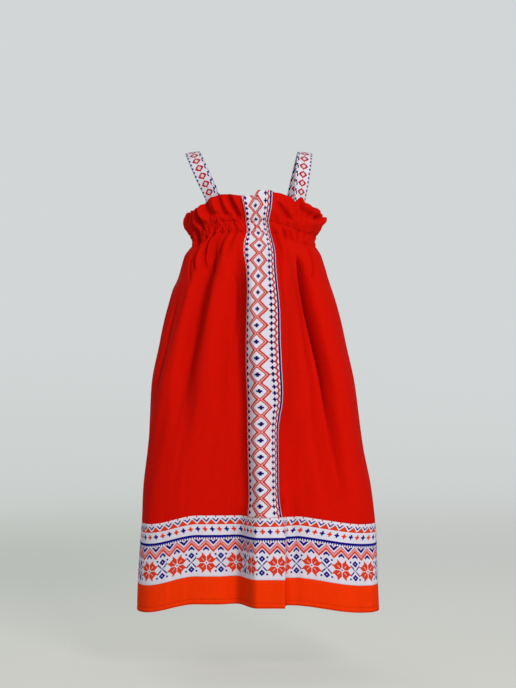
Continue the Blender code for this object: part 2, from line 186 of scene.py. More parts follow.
def read(rows: Sequence[NamedTuple], column: str, at: Array, smooth: bool = True) -> Array:
    """Read a table's column, by cubic pieces that pass smoothly through its rows or by straight lines.

    Args:
        rows: A table whose rows have a down field.
        column: The field to read.
        at: Lengths below the top edge.
        smooth: Whether to use the cubic pieces.

    Returns:
        The column's value at each length.
    """
    places, values = (np.array([getattr(row, name) for row in rows]) for name in ("down", column))
    if not smooth:
        return np.interp(at, places, values)
    slopes = np.gradient(values, places)
    at = np.clip(at, places[0], places[-1])
    low = np.clip(np.searchsorted(places, at, side="right") - 1, 0, len(rows) - 2)
    gap = places[low + 1] - places[low]
    s = (at - places[low]) / gap
    start = values[low] * (1 + 2 * s) * (1 - s) ** 2 + slopes[low] * gap * s * (1 - s) ** 2
    end = values[low + 1] * s * s * (3 - 2 * s) - slopes[low + 1] * gap * s * s * (1 - s)
    return start + end


def ramp(at: Array, starts: float, full: float) -> Array:
    """Rise smoothly from 0 before starts to 1 after full: s * s * (3 - 2s)."""
    s = np.clip((at - starts) / (full - starts), 0.0, 1.0)
    return s * s * (3 - 2 * s)


def bell(away: Array, width: Union[Array, float]) -> Array:
    """Return 1 at a middle, falling to 1/e at a width from it."""
    return np.exp(-((away / width) ** 2))


def wrap(place: Array) -> Array:
    """Measure places from the middle of the front, at most half way round either way."""
    return (place + CUT.around / 2) % CUT.around - CUT.around / 2


class Spots(NamedTuple):
    """Spots on the cloth: angles round from the front, places round and lengths down."""

    turn: Array
    place: Array
    down: Array


class Fold(NamedTuple):
    """A soft ridge (height above 0) or trough, running down the skirt.

    turn_top and turn_hem are degrees round from the front; left, right and flat are the
    widths of its two flanks and half its crest; it grows from starts to full and fades
    from fades to ends; lean tips its crest to the right.
    """

    name: str
    turn_top: float
    turn_hem: float
    left: float
    right: float
    flat: float
    height: float
    starts: float
    full: float
    fades: float = NEVER
    ends: float = NEVER
    lean: float = 0.0

    def share(self, turn: Array, down: Array) -> Array:
        """Return its share at each spot: a raised-cosine bump with a flat crest, fading out.

        Args:
            turn: Angles round from the front, right positive.
            down: Lengths below the top edge.

        Returns:
            Values from 0 to 1.
        """
        middle = np.radians(self.turn_top + (self.turn_hem - self.turn_top) * down / CUT.hem)
        away = (turn - middle + math.pi) % (2 * math.pi) - math.pi
        flank = np.where(away < 0, self.left, self.right)
        s = np.clip((np.abs(away) * read(RINGS, "half_width", down) - self.flat) / flank, 0.0, 1.0)
        grown = ramp(down, self.starts, self.full) * (1 - ramp(down, self.fades, self.ends + 0.01))
        return (0.5 + 0.5 * np.cos(math.pi * s)) * grown


class SharpFold(Fold):
    """A long crease of the skirt; its lean is 0 for a soft bottom and 1 for a sharp one."""

    def lift(self, at: Spots) -> Array:
        """Return how far it stands out at each spot."""
        share = self.share(at.turn, at.down)
        return self.height * (share + self.lean * (1 - np.sqrt(1 - share) - share))


FOLDS = (
    Fold("centre_ridge", 6.8, 6.8, 0.036, 0.050, 0.014, 0.050, 0.08, 0.19, 0.33, 0.43),
    Fold("band_ridge", 1.8, 1.8, 0.034, 0.054, 0.001, 0.046, 0.33, 0.44, 0.54, 0.62),
    Fold("hem_pleat", 4.2, 4.2, 0.025, 0.012, 0.0235, 0.052, 0.54, 0.63, lean=0.006),
    Fold("right_shelf", 28, 27, 0.036, 0.050, 0.024, 0.009, 0.44, 0.66),
    Fold("left_ridge", -20, -33, 0.022, 0.034, 0.002, 0.011, 0.08, 0.16, 0.30, 0.46),
    Fold("left_trough", -35, -38, 0.026, 0.022, 0.002, -0.010, 0.07, 0.16, 0.28, 0.46),
    Fold("right_trough", 36, 32, 0.022, 0.032, 0.0, -0.018, 0.08, 0.20, 0.48, 0.62),
    Fold("right_hip_trough", 108, 104, 0.030, 0.030, 0.0, -0.011, 0.12, 0.46),
    Fold("right_back_ridge", 128, 127, 0.028, 0.030, 0.006, 0.015, 0.10, 0.62, lean=0.006),
    Fold("right_back_trough", 148, 147, 0.024, 0.026, 0.0, -0.010, 0.09, 0.50),
    Fold("middle_back_ridge", 171, 172, 0.030, 0.026, 0.008, 0.020, 0.11, 0.66, lean=-0.006),
    Fold("middle_back_trough", -168, -166, 0.024, 0.028, 0.0, -0.009, 0.09, 0.44),
    Fold("left_back_ridge", -143, -144, 0.032, 0.028, 0.006, 0.017, 0.12, 0.60, lean=0.005),
    Fold("left_back_trough", -122, -123, 0.026, 0.026, 0.0, -0.012, 0.10, 0.52),
    Fold("left_hip_trough", -106, -102, 0.030, 0.032, 0.002, -0.009, 0.16, 0.60),
)
SHARP_FOLDS = (
    SharpFold("left_step", -26.5, -47, 0.040, 0.020, 0.0, -0.0130, 0.070, 0.12, 0.24, 0.42, 0.3),
    SharpFold("right_valley", 37.3, 38.5, 0.007, 0.026, 0.0, -0.0240, 0.095, 0.14, 0.34, 0.56, 1.0),
    SharpFold("right_valley_head", 37.6, 37.6, 0.004, 0.014, 0.0, -0.0340, 0.092, 0.13, 0.20, 0.36, 1.0),
    SharpFold("pleat_shoulder", 13.8, 13.8, 0.014, 0.020, 0.0, 0.0240, 0.515, 0.57, 0.60, 0.82),
    SharpFold("pleat_foot", -10.5, -10.5, 0.027, 0.019, 0.0, -0.0105, 0.560, 0.64),
    SharpFold("left_edge_trough", -58, -58, 0.020, 0.030, 0.0, -0.0070, 0.120, 0.20, 0.30, 0.42, 1.0),
    SharpFold("band_left_crease", -7, -3.5, 0.010, 0.014, 0.0, -0.0042, 0.110, 0.19, 0.54, 0.60, 1.0),
    SharpFold("right_soft", 20, 17, 0.020, 0.030, 0.0, -0.0030, 0.300, 0.40, 0.50, 0.60),
)


# Gathers, frill and creases: how far the cloth stands out from the worn form


class Depth(NamedTuple):
    """Depth of one kind of gather at one level."""

    down: float
    depth: float


@dataclass(frozen=True)
class Gathers:
    """Pleats drawn up by the casing, uneven in width, height and length.

    The lift is a raised cosine from one valley to the next, times the depth at this level,
    times each pleat's own height, fading where each pleat ends.
    """

    count: int
    seed: int
    depths: tuple[Depth, ...]
    uneven: float
    ends: tuple[float, float]
    right_share: float
    band_share: float = 0.7
    band_reach: float = 0.046
    slant: float = 0.0
    jitter: float = 0.0
    least: float = 0.55

    def lift(self, at: Spots) -> Array:
        """Return how far the pleats stand out.

        Args:
            at: Where.

        Returns:
            Distances outwards.
        """
        random = np.random.default_rng(self.seed)
        around, below = at.place / CUT.around, at.down - CUT.heading
        lap = 2 * math.pi * around
        phase = self.count * (around + 0.25)
        for waves in (3, 7, 13, 19):
            wave = self.uneven * np.sin(waves * lap + random.uniform(*ANY_PHASE))
            phase = phase + wave * random.uniform(0.5, 1.0)
        wander = sum(
            np.sin(waves * lap + random.uniform(*ANY_PHASE)) * random.uniform(0.4, 1.0) for waves in (5, 11, 23)
        )
        phase = phase + wander * below * 6.0 * self.uneven
        phase = phase + self.count * self.slant * np.clip(2 * np.sin(lap), -1.0, 1.0) * below / CUT.around
        for waves, climb in ((37, 380.0), (53, -610.0)):
            phase = phase + self.jitter * np.sin(waves * lap + climb * at.down + random.uniform(*ANY_PHASE))
        index = np.floor(phase).astype(int) % self.count
        crest = 0.5 - 0.5 * np.cos(2 * math.pi * (phase - np.floor(phase)))
        height = random.uniform(self.least, 1.15, self.count)[index]
        ends = random.uniform(*self.ends, self.count)[index]
        place = wrap(at.place)
        right = ramp(place, 0.040, 0.060) * (1 - ramp(place, CUT.side - 0.03, CUT.side + 0.03))
        band = 1 - ramp(np.abs(place), 0.75 * self.band_reach, self.band_reach)
        share = (1 - (1 - self.right_share) * right) * (1 - (1 - self.band_share) * band)
        fade = 1 - ramp(at.down, ends - 0.035, ends)
        return crest**0.8 * height * fade * share * read(self.depths, "depth", at.down)


UPPER_DEPTHS = table(Depth, (0, 0), (34, 0.1), (41, 1.2), (48, 4), (53, 4.3), (58, 2.6), (64, 0.6), (72, 0))
LOWER_DEPTHS = table(Depth, (50, 0), (56, 0.6), (61, 3), (67, 4.2), (72, 3), (78, 1.2), (90, 0.3), (110, 0))
BUST_DEPTHS = table(
    Depth, (0, 0.3), (30, 1), (50, 0.6), (64, 0.4), (76, 1.6), (96, 1.9), (125, 1.1), (170, 0.2), (260, 0)
)
SKIRT_DEPTHS = table(Depth, (70, 0), (120, 0.9), (220, 1.3), (360, 0.9), (560, 0.8), (742, 1))
GATHERS = (
    Gathers(89, 11, UPPER_DEPTHS, 0.42, (0.100, 0.116), 0.35, slant=1.0, jitter=0.26, least=0.15),
    Gathers(97, 31, LOWER_DEPTHS, 0.42, (0.080, 0.116), 0.40, slant=0.7, jitter=0.26, least=0.15),
    Gathers(54, 23, BUST_DEPTHS, 0.30, (0.100, 0.180), 0.20, band_share=0.2, band_reach=0.120),
    Gathers(29, 5, SKIRT_DEPTHS, 0.26, (0.300, 1.200), 0.60, band_share=0.3),
)


class Crease(NamedTuple):
    """A single ridge (depth above 0) or trough in the cloth, given one by one.

    It runs from (place_top, down_top) to (place_foot, down_foot), bowed sideways by bow at its
    middle. left and right are the widths of its flanks, and depth is its height at the middle.
    """

    place_top: float
    down_top: float
    place_foot: float
    down_foot: float
    bow: float
    left: float
    right: float
    depth: float

    def lift(self, at: Spots) -> Array:
        """Return a bell across it, times 1 - (2s - 1)^4 along it from end to end.

        Args:
            at: Where.

        Returns:
            Distances outwards.
        """
        s = np.clip((at.down - self.down_top) / (self.down_foot - self.down_top), 0.0, 1.0)
        middle = self.place_top + (self.place_foot - self.place_top) * s + self.bow * 4 * s * (1 - s)
        away = wrap(at.place - middle)
        return self.depth * bell(away, np.where(away < 0, self.left, self.right)) * (1 - (2 * s - 1) ** 4)


# Valleys and rolls of the frill, from the left side seam to the right
FRILL_CREASES = table(
    Crease,
    (-305, -2, -299, 50, 0, 18, 16, -8.0),
    (-268, -2, -262, 78, 0, 10, 18, -15.0),
    (-249, -2, -244, 44, 0, 10, 10, 6.0),
    (-231, -3, -219, 52, 0, 7, 12, -12.0),
    (-212, -2, -186, 44, -2, 11, 8, 12.0),
    (-196, -3, -166, 38, -4, 7, 18, -10.0),
    (-158, -2, -140, 36, 0, 13, 14, 7.0),
    (-137, -2, -116, 44, 0, 16, 18, -6.0),
    (-116, -2, -98, 38, 0, 14, 9, 8.0),
    (-100, -4, -61, 50, -3, 5, 16, -13.0),
    (-74, -2, -53, 44, 0, 12, 9, 4.0),
    (-48, 4, -44, 62, 0, 6, 7, -6.0),
    (64, 16, 122, 40, 0, 17, 10, -11.0),
    (107, -2, 114, 36, 0, 14, 14, 3.0),
    (146, -20, 150, 34, 0, 11, 7, -6.0),
    (157, 0, 172, 36, 0, 6, 10, -8.0),
    (186, 20, 214, 46, 0, 12, 16, -4.0),
    (300, 20, 322, 66, 0, 18, 11, -14.5),
)
# Short creases that run out of the casing
SKIRT_CREASES = table(
    Crease,
    (-234, 62, -252, 150, 0, 8, 8, -4.5),
    (-208, 58, -232, 130, 0, 6, 9, -4.5),
    (-190, 62, -216, 130, 0, 8, 8, 3.0),
    (-170, 60, -204, 140, 0, 7, 10, -6.0),
    (-154, 62, -190, 130, 0, 8, 8, 3.5),
    (-134, 60, -176, 160, 0, 9, 12, -6.5),
    (-112, 56, -132, 118, 0, 12, 9, -5.5),
    (-84, 60, -94, 110, 0, 8, 10, -3.5),
    (50, 56, 74, 230, 2, 10, 12, -7.0),
    (64, 40, 80, 56, 0, 8, 8, -2.2),
    (66, 50, 90, 130, 0, 10, 14, 3.0),
    (96, 36, 124, 54, 2, 10, 8, -2.6),
    (98, 56, 106, 78, 2, 5, 6, -4.8),
    (118, 50, 122, 68, -2, 5, 6, 3.0),
    (134, 54, 136, 74, 0, 5, 6, -4.4),
    (140, 40, 166, 60, 0, 10, 9, -2.4),
    (172, 48, 166, 72, 2, 6, 7, -5.0),
    (206, 52, 202, 74, 0, 6, 7, -4.0),
    (214, 66, 198, 142, 0, 6, 9, -8.5),
    (252, 30, 262, 66, 0, 10, 12, -5.0),
)
# The arm's hollow in the left side, and the ditches of the two side seams
SIDE_CREASES = table(
    Crease,
    (-351, 36, -351, 150, 0, 90, 90, -5.0),
    (-351, 70, -351, 760, 0, 4, 4, -1.2),
    (351, 70, 351, 760, 0, 4, 4, -1.2),
)


class Hidden(NamedTuple):
    """A run of creases made by formula on a side that the front view doesn't show."""

    count: int
    seed: int
    first: float
    last: float
    top: float
    foot: float
    width: float
    depth: float

    def creases(self) -> Iterator[Crease]:
        """Space creases evenly, then shift, lengthen and deepen each a little at random.

        Yields:
            The creases.
        """
        random = np.random.default_rng(self.seed)
        pitch = (self.last - self.first) / (self.count - 1)
        for middle in np.linspace(self.first, self.last, self.count):
            place = middle + random.uniform(-0.3, 0.3) * pitch
            place_foot = place + random.uniform(-0.3, 0.3) * pitch
            foot = self.top + (self.foot - self.top) * random.uniform(0.7, 1.1)
            left, right = self.width * random.uniform(0.7, 1.3, 2)
            depth = self.depth * random.uniform(0.5, 1.3)
            yield Crease(place, self.top, place_foot, foot, random.uniform(-0.003, 0.003), left, right, depth)


HIDDEN_RUNS = (
    Hidden(14, 41, 0.372, 1.030, -0.02, 0.046, 0.013, -0.0075),
    Hidden(13, 42, 0.396, 1.010, -0.02, 0.042, 0.013, 0.0045),
    Hidden(16, 43, 0.360, 1.050, 0.058, 0.170, 0.008, -0.0034),
    Hidden(7, 44, 0.400, 1.000, 0.100, 0.420, 0.013, -0.0040),
)


class EdgeRise(NamedTuple):
    """How far the heading's edge stands above its even line, at one place round."""

    place: float
    rise: float


EDGE_RISES = table(
    EdgeRise,
    *((-420, 0), (-345, -4), (-235, 0), (-193, -1), (-184, 1), (-145, -2), (-93, -1), (-36, -4.5)),
    *((-6, -4), (3, 5.5), (40, 5), (48, 3), (78, 5.5), (114, 5.8), (146, 4), (168, 15.5), (184, 8)),
    *((204, 7), (252, 3), (305, -5), (315, -12), (351, -12), (420, 0)),
)


@dataclass(frozen=True)
class Flap:
    """The part of the frill by the right arm, rolled outwards over a hollow.

    Its lift is a bell at its roll, growing to the right, less a bell at its hollow, between its two
    ends; beyond them the edge sticks out in a lobe that falls away evenly below the edge.
    """

    first: float = 0.154
    last: float = 0.314
    roll_down: float = 0.004
    roll_width: float = 0.0080
    roll_height: float = 0.0095
    hollow_down: float = 0.0165
    hollow_width: float = 0.0056
    hollow_depth: float = 0.0145
    lobe_place: float = 0.334
    lobe_width: float = 0.016
    lobe_foot: float = 0.028
    lobe_height: float = 0.0185

    def lift(self, at: Spots) -> Array:
        """Return how far the flap stands out.

        Args:
            at: Where.

        Returns:
            Distances outwards.
        """
        share = ramp(at.place, self.first, self.first + 0.022) * (1 - ramp(at.place, self.last - 0.012, self.last))
        roll = bell(at.down - self.roll_down, self.roll_width) * self.roll_height
        roll = roll * (0.35 + 0.65 * ramp(at.place, 0.235, 0.300))
        hollow = bell(at.down - self.hollow_down, self.hollow_width) * self.hollow_depth
        lobe = bell(at.place - self.lobe_place, self.lobe_width) * self.lobe_height
        return (roll - hollow) * share + lobe * np.clip(1 - at.down / self.lobe_foot, 0.0, 1.0)


@dataclass(frozen=True)
class FrillWave:
    """The heading's soft waves: a warped sine, largest at the top edge."""

    waves: int = 28
    size: float = 0.0040

    def lift(self, at: Spots) -> Array:
        """Return how far the waves stand out.

        Args:
            at: Where.

        Returns:
            Distances outwards.
        """
        phase = 2 * math.pi * at.place / CUT.around
        wave = np.sin(self.waves * phase + 0.9 * np.sin(3 * phase + 0.4) + 0.7 * np.sin(5 * phase + 1.9))
        size = self.size * (1 + 0.3 * np.sin(4 * phase + 2.1) + 0.2 * np.sin(7 * phase))
        front = 1 - 0.75 * ramp(np.cos(at.turn), 0.1, 0.5)
        return wave * size * front * (1 - ramp(at.down, 0.012, CUT.heading))


@dataclass(frozen=True)
class Undulation:
    """Five slow waves that lean this way and that, so no stretch of cloth is quite even."""

    size: float = 0.0009

    def lift(self, at: Spots) -> Array:
        """Add up the waves: a sine across, times a sine down.

        Args:
            at: Where.

        Returns:
            Distances outwards.
        """
        random = np.random.default_rng(3)
        total = np.zeros(at.place.shape)
        for waves, tilt, size in ((9, 7, 1.0), (14, -11, 0.8), (22, 16, 0.6), (31, -23, 0.4), (46, 30, 0.25)):
            phase = 2 * math.pi * waves * at.place / CUT.around + tilt * at.down + random.uniform(*ANY_PHASE)
            total += size * np.sin(phase) * np.sin(7.5 * at.down * size + random.uniform(*ANY_PHASE))
        return self.size * total * ramp(at.down, 0.09, 0.22)


@dataclass(frozen=True)
class StitchLine:
    """A level row of stitches, which draws the cloth in to a shallow ditch."""

    down: float
    ditch: float
    width: float = 0.0022

    def lift(self, at: Spots) -> Array:
        """Return the ditch: a bell across the row, pointing inwards."""
        return -self.ditch * bell(at.down - self.down, self.width)


HEM_STITCH = CUT.hem - 0.0088
STITCH_LINES = (
    StitchLine(CUT.heading, 0.0016),
    StitchLine(CUT.casing_foot, 0.0013),
    StitchLine(CUT.border_top, 0.0005, 0.0016),
    StitchLine(CUT.hem_band_top, 0.0006, 0.0016),
    StitchLine(HEM_STITCH, 0.0005, 0.0016),
)
CREASES = FRILL_CREASES + SKIRT_CREASES + SIDE_CREASES
HIDDEN_CREASES = tuple(crease for run in HIDDEN_RUNS for crease in run.creases())
LIFTS = (FrillWave(), Flap(), Undulation()) + CREASES + HIDDEN_CREASES + GATHERS + SHARP_FOLDS + STITCH_LINES


class Surface(NamedTuple):
    """A grid of points on the cloth's outer face, with what lies at each."""

    points: Array
    facing: Array
    place: Array
    down: Array
    # Painted shade: how far the colour is darkened where the cloth lies deep in a fold.
    hollow: Array

    @property
    def flat(self) -> Array:
        """The grid's coordinates on the flat cloth."""
        return np.stack([self.place, self.down], -1)


@dataclass(frozen=True)
class Cloth:
    """The cloth's outer face: a smooth folded form, then its gathers, frill and creases."""

    samples: int = 1440
    rim: float = 0.0012
    band_search: float = 25.0
    rise_foot: float = 0.034
    shade_reach: float = 0.024
    shade_width: float = 0.012
    shade_depth: float = 0.013

    def fold_moves(self, turn: Array, down: Array) -> tuple[Array, Array]:
        """Move the cloth by each fold, outwards by its share and rightwards by its share squared.

        Args:
            turn: Angles round from the front, right positive.
            down: Lengths below the top edge.

        Returns:
            The moves outwards and to the right.
        """
        shares = [(fold, fold.share(turn, down)) for fold in FOLDS]
        return sum(fold.height * share for fold, share in shares), sum(fold.lean * share**2 for fold, share in shares)

    def ring(self, turn: Array, down: Array) -> tuple[Array, Array, Array]:
        """Place the folded cloth: a superellipse in plan, drooping to the sides, plus the folds.

        Args:
            turn: Angles round from the front.
            down: Lengths below the top edge, of the same shape.

        Returns:
            Points, outward directions and rightward directions, level in plan.
        """
        half = read(RINGS, "half_width", down)
        sin, cos = np.sin(turn), np.cos(turn)
        depth = np.where(cos > 0, read(RINGS, "front", down), read(RINGS, "back", down))
        power = np.where(cos > 0, read(RINGS, "square", down), SQUARE_BACK)
        reach = (np.abs(sin) ** power + np.abs(cos) ** power) ** (-1 / power)
        growth = np.abs(cos) ** (power - 1) * np.sign(cos) * sin
        growth = growth - np.abs(sin) ** (power - 1) * np.sign(sin) * cos
        growth = growth * reach ** (power + 1)
        front_z, side_z, back_z = (read(LEVELS, name, down, False) for name in ("z_front", "z_side", "z_back"))
        middle_z = np.where(cos > 0, front_z, back_z)
        droop = ramp(np.abs(sin) * reach, np.where(sin < 0, DROOP_LEFT, DROOP_RIGHT), DROOP_FULL)
        x = read(RINGS, "centre", down) + half * sin * reach
        points = np.stack([x, -depth * cos * reach, middle_z + (side_z - middle_z) * droop], -1)
        run_x = half * (cos * reach + sin * growth)
        run_y = depth * (sin * reach - cos * growth)
        length, level = np.hypot(run_x, run_y), np.zeros_like(run_x)
        right = np.stack([run_x / length, run_y / length, level], -1)
        out = np.stack([run_y / length, -run_x / length, level], -1)
        outwards, rightwards = self.fold_moves(turn, down)
        return points + out * outwards[..., None] + right * rightwards[..., None], out, right

    def turns(self, places: Array, rows: Array) -> Array:
        """Find the angle of each place, by lengths along the folded ring of each row.

        The band's middle is at band_x, and the cloth is shared out evenly from each edge of the
        band to the middle of the back.

        Args:
            places: Places round the dress, from minus half to one and a half times its cloth.
            rows: Lengths below the top edge.

        Returns:
            Angles, one row for each length down.
        """
        turn = np.linspace(-math.pi, math.pi, self.samples + 1)
        plan = self.ring(*np.meshgrid(turn, rows))[0][..., :2]
        steps = np.linalg.norm(np.diff(plan, axis=1), axis=2)
        near = np.flatnonzero(np.abs(turn) < math.radians(self.band_search))
        half_band, half_cloth = CUT.band_width / 2, CUT.around / 2
        marks = [-half_cloth, -half_band, 0.0, half_band, half_cloth]
        laps = np.round((places - wrap(places)) / CUT.around)
        found = np.empty((len(rows), len(places)))
        for row, down in enumerate(rows):
            run = np.concatenate([[0.0], np.cumsum(steps[row])])
            band_x, left, right = (read(RINGS, name, down) for name in ("band_x", "left_spread", "right_spread"))
            band_turn = turn[near][np.argmin(np.abs(plan[row, near, 0] - band_x))]
            middle = np.interp(band_turn, turn, run)
            runs = [0.0, middle - half_band * left, middle, middle + half_band * right, run[-1]]
            found[row] = np.interp(np.interp(wrap(places), marks, runs), run, turn) + laps * 2 * math.pi
        return found

    def outer(self, places: Array, rows: Array) -> tuple[Array, Array]:
        """Place the outer face: the folded form, raised at the edge, plus every lift, outwards.

        Args:
            places: Places round the dress.
            rows: Lengths below the top edge.

        Returns:
            Points, one row for each length down, and how far the folds and lifts carry each.
        """
        turn = self.turns(places, rows)
        at = Spots(turn, *np.meshgrid(places, rows))
        points, out, _ = self.ring(turn, at.down)
        lift = sum(part.lift(at) for part in LIFTS)
        points[..., 2] += np.interp(wrap(at.place), *zip(*EDGE_RISES)) * (1 - ramp(at.down, 0.0, self.rise_foot))
        return points + out * (lift + WALL / 2)[..., None], lift + self.fold_moves(turn, at.down)[0]

    def patch(self, places: Array, rows: Array) -> Surface:
        """Make a grid with its normals, which come from one more row and column on each side.

        Args:
            places: Places round the dress.
            rows: Lengths below the top edge.

        Returns:
            The grid.
        """
        more = [np.concatenate([[line[0] - self.rim], line, [line[-1] + self.rim]]) for line in (places, rows)]
        grid, relief = self.outer(more[0], np.clip(more[1], 0.0, CUT.hem))
        facing = np.cross(grid[2:, 1:-1] - grid[:-2, 1:-1], grid[1:-1, 2:] - grid[1:-1, :-2])
        facing /= np.linalg.norm(facing, axis=2, keepdims=True)
        pitch = float(np.ptp(places)) / max(len(places) - 1, 1) + 1e-4
        hollow = self.hollows(relief[1:-1, 1:-1], pitch)
        return Surface(grid[1:-1, 1:-1], facing, *np.meshgrid(places, rows), hollow)

    def hollows(self, relief: Array, pitch: float) -> Array:
        """Find how deep the cloth lies in a fold, where less light reaches it, for the painted shade that darkens the
        colour there.

        Each value is the bell-weighted mean of the relief within shade_reach along its row, less the
        relief there, as a share of shade_depth.

        Args:
            relief: How far the cloth stands out, by rows.
            pitch: The distance between two columns.

        Returns:
            Values from 0, on a ridge, to 1, in a deep fold.
        """
        reach = max(int(round(self.shade_reach / pitch)), 1)
        weight = bell(np.arange(-reach, reach + 1) * pitch, self.shade_width)
        wide = np.pad(relief, ((0, 0), (reach, reach)), "edge")
        windows = np.lib.stride_tricks.sliding_window_view(wide, 2 * reach + 1, axis=1)
        return np.clip((windows @ (weight / weight.sum()) - relief) / self.shade_depth, 0.0, 1.0)


# Meshes


@dataclass
class Patchwork:
    """Points, their places on the flat cloth and faces, gathered up for one piece."""

    points: list[Array] = field(default_factory=list)
    flat: list[Array] = field(default_factory=list)
    faces: list[list[int]] = field(default_factory=list)

    def add_points(self, points: Array, flat: Array) -> int:
        """Add points.

        Args:
            points: Points, in any grid shape.
            flat: Their two coordinates on the flat cloth.

        Returns:
            The first point's number.
        """
        first = sum(len(group) for group in self.points)
        self.points.append(points.reshape(-1, 3))
        self.flat.append(flat.reshape(-1, 2))
        return first

    def add_grid(self, points: Array, flat: Array) -> Array:
        """Add a grid and its square faces, turned outwards when rows run down and columns right.

        Args:
            points: Rows of points.
            flat: Their coordinates on the flat cloth.

        Returns:
            The grid of point numbers.
        """
        number = self.add_points(points, flat) + np.arange(points[..., 0].size).reshape(points.shape[:2])
        quads = np.stack([number[:-1, :-1], number[1:, :-1], number[1:, 1:], number[:-1, 1:]], -1)
        self.faces += quads.reshape(-1, 4).tolist()
        return number

    def join_two_to_one(self, fine: Array, coarse: Array) -> None:
        """Join a fine row above to a coarse row below, two cells to one.

        Args:
            fine: Point numbers of the fine row.
            coarse: Point numbers of the coarse row.
        """
        a, b, c, left, right = fine[:-1:2], fine[1::2], fine[2::2], coarse[:-1], coarse[1:]
        for corners in ((a, left, b), (b, left, right), (b, right, c)):
            self.faces += np.stack(corners, -1).tolist()

    def mesh(self, name: str) -> bpy.types.Mesh:
        """Make the mesh, smooth, with its flat coordinates in metres as the UV map "cloth".

        Args:
            name: The mesh's name.

        Returns:
            The mesh.
        """
        data = bpy.data.meshes.new(name)
        data.from_pydata(np.concatenate(self.points).tolist(), [], self.faces)
        data.update()
        data.shade_smooth()
        corner = np.empty(len(data.loops), dtype=np.int32)
        data.loops.foreach_get("vertex_index", corner)
        layer = data.uv_layers.new(name="cloth")
        layer.data.foreach_set("uv", np.concatenate(self.flat)[corner].astype(np.float32).ravel())
        return data

    def piece(self, name: str, slot: str, material: Material) -> Piece:
        """Put it in the scene as a piece that rides on the dress.

        Args:
            name: The piece's name.
            slot: The record's material slot; not used.
            material: Its finish.

        Returns:
            The piece.
        """
        mesh = self.mesh(name)
        mesh.materials.append(material)
        piece = bpy.data.objects.new(name, mesh)
        bpy.context.scene.collection.objects.link(piece)
        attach(piece, "root")
        return piece


@dataclass(frozen=True)
class Sheet:
    """A piece of cloth: its solid's name, slot, flat width and length, hold and thickness."""

    node: str
    slot: str
    cut: tuple[float, float]
    held: str
    thickness: float = CLOTH_THICKNESS

    def make(self, work: Patchwork, material: Material, hollow: Optional[Array] = None) -> Piece:
        """Put it in the place of its solid, thick inwards from its outer face.

        Args:
            work: Its outer face.
            material: Its finish.
            hollow: Values for the attribute "hollow", in the points' order, which the finish reads to paint shade in
                the folds.

        Returns:
            The piece.
        """
        piece = work.piece(self.node + "_cloth", self.slot, material)
        if hollow is not None:
            layer = piece.data.attributes.new("hollow", "FLOAT", "POINT")
            layer.data.foreach_set("value", hollow.astype(np.float32).ravel())
        shell = piece.modifiers.new("thickness", "SOLIDIFY")
        shell.thickness = self.thickness
        shell.offset = -1.0
        shell.use_even_offset = False
        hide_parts(self.node)
        return piece


# Shader nodes

Number = Union["Field", float]


def operator(operation: str) -> Callable[..., "Field"]:
    """Make a method that adds a Math node of one operation."""
    return lambda number, *others: number.math(operation, *others)


class Field:
    """A number that changes over a surface: a socket, with arithmetic that adds Math nodes.

    Of two masks, & is where both hold and | where either does.
    """

    def __init__(self, tree: Tree, socket: Socket) -> None:
        """Wrap a socket of a node tree."""
        self.tree = tree
        self.socket = socket

    def math(self, operation: str, *others: Number) -> "Field":
        """Add a Math node with this number first.

        Args:
            operation: The node's operation.
            others: Its other numbers.

        Returns:
            The result.
        """
        node = self.tree.nodes.new("ShaderNodeMath")
        node.operation = operation
        for slot, value in zip(node.inputs, (self, *others)):
            plug(self.tree, value, slot)
        return Field(self.tree, node.outputs[0])

    __add__ = __radd__ = operator("ADD")
    __sub__ = operator("SUBTRACT")
    __mul__ = __rmul__ = __and__ = operator("MULTIPLY")
    __truediv__ = operator("DIVIDE")
    __or__ = operator("MAXIMUM")
    __lt__ = operator("LESS_THAN")
    __gt__ = operator("GREATER_THAN")
    __abs__ = operator("ABSOLUTE")
    floor = operator("FLOOR")
    least = operator("MINIMUM")

    def __rsub__(self, other: float) -> "Field":
        """Return a plain number less this one."""
        return (self * -1.0) + other

    def between(self, low: Number, high: Number) -> "Field":
        """Return the mask of where this lies between two numbers."""
        return (self > low) & (self < high)

    def near(self, centre: float, period: float) -> "Field":
        """Return the distance to the nearest of a row of centres, a period apart."""
        return (self - centre).math("PINGPONG", period / 2)

    def rise(self, low: float, high: float) -> "Field":
        """Rise smoothly from 0 at one number to 1 at another.

        Args:
            low: Where it leaves 0.
            high: Where it reaches 1.

        Returns:
            The rise.
        """
        node = self.tree.nodes.new("ShaderNodeMapRange")
        node.interpolation_type = "SMOOTHSTEP"
        for title, value in (("Value", self), ("From Min", low), ("From Max", high)):
            plug(self.tree, value, node.inputs[title])
        return Field(self.tree, node.outputs["Result"])


def plug(tree: Tree, value: Number, slot: Socket) -> None:
    """Feed a socket from a field, or set it to a plain number.

    Args:
        tree: The node tree.
        value: What it gets.
        slot: The input socket.
    """
    if isinstance(value, Field):
        tree.links.new(value.socket, slot)
    else:
        slot.default_value = value


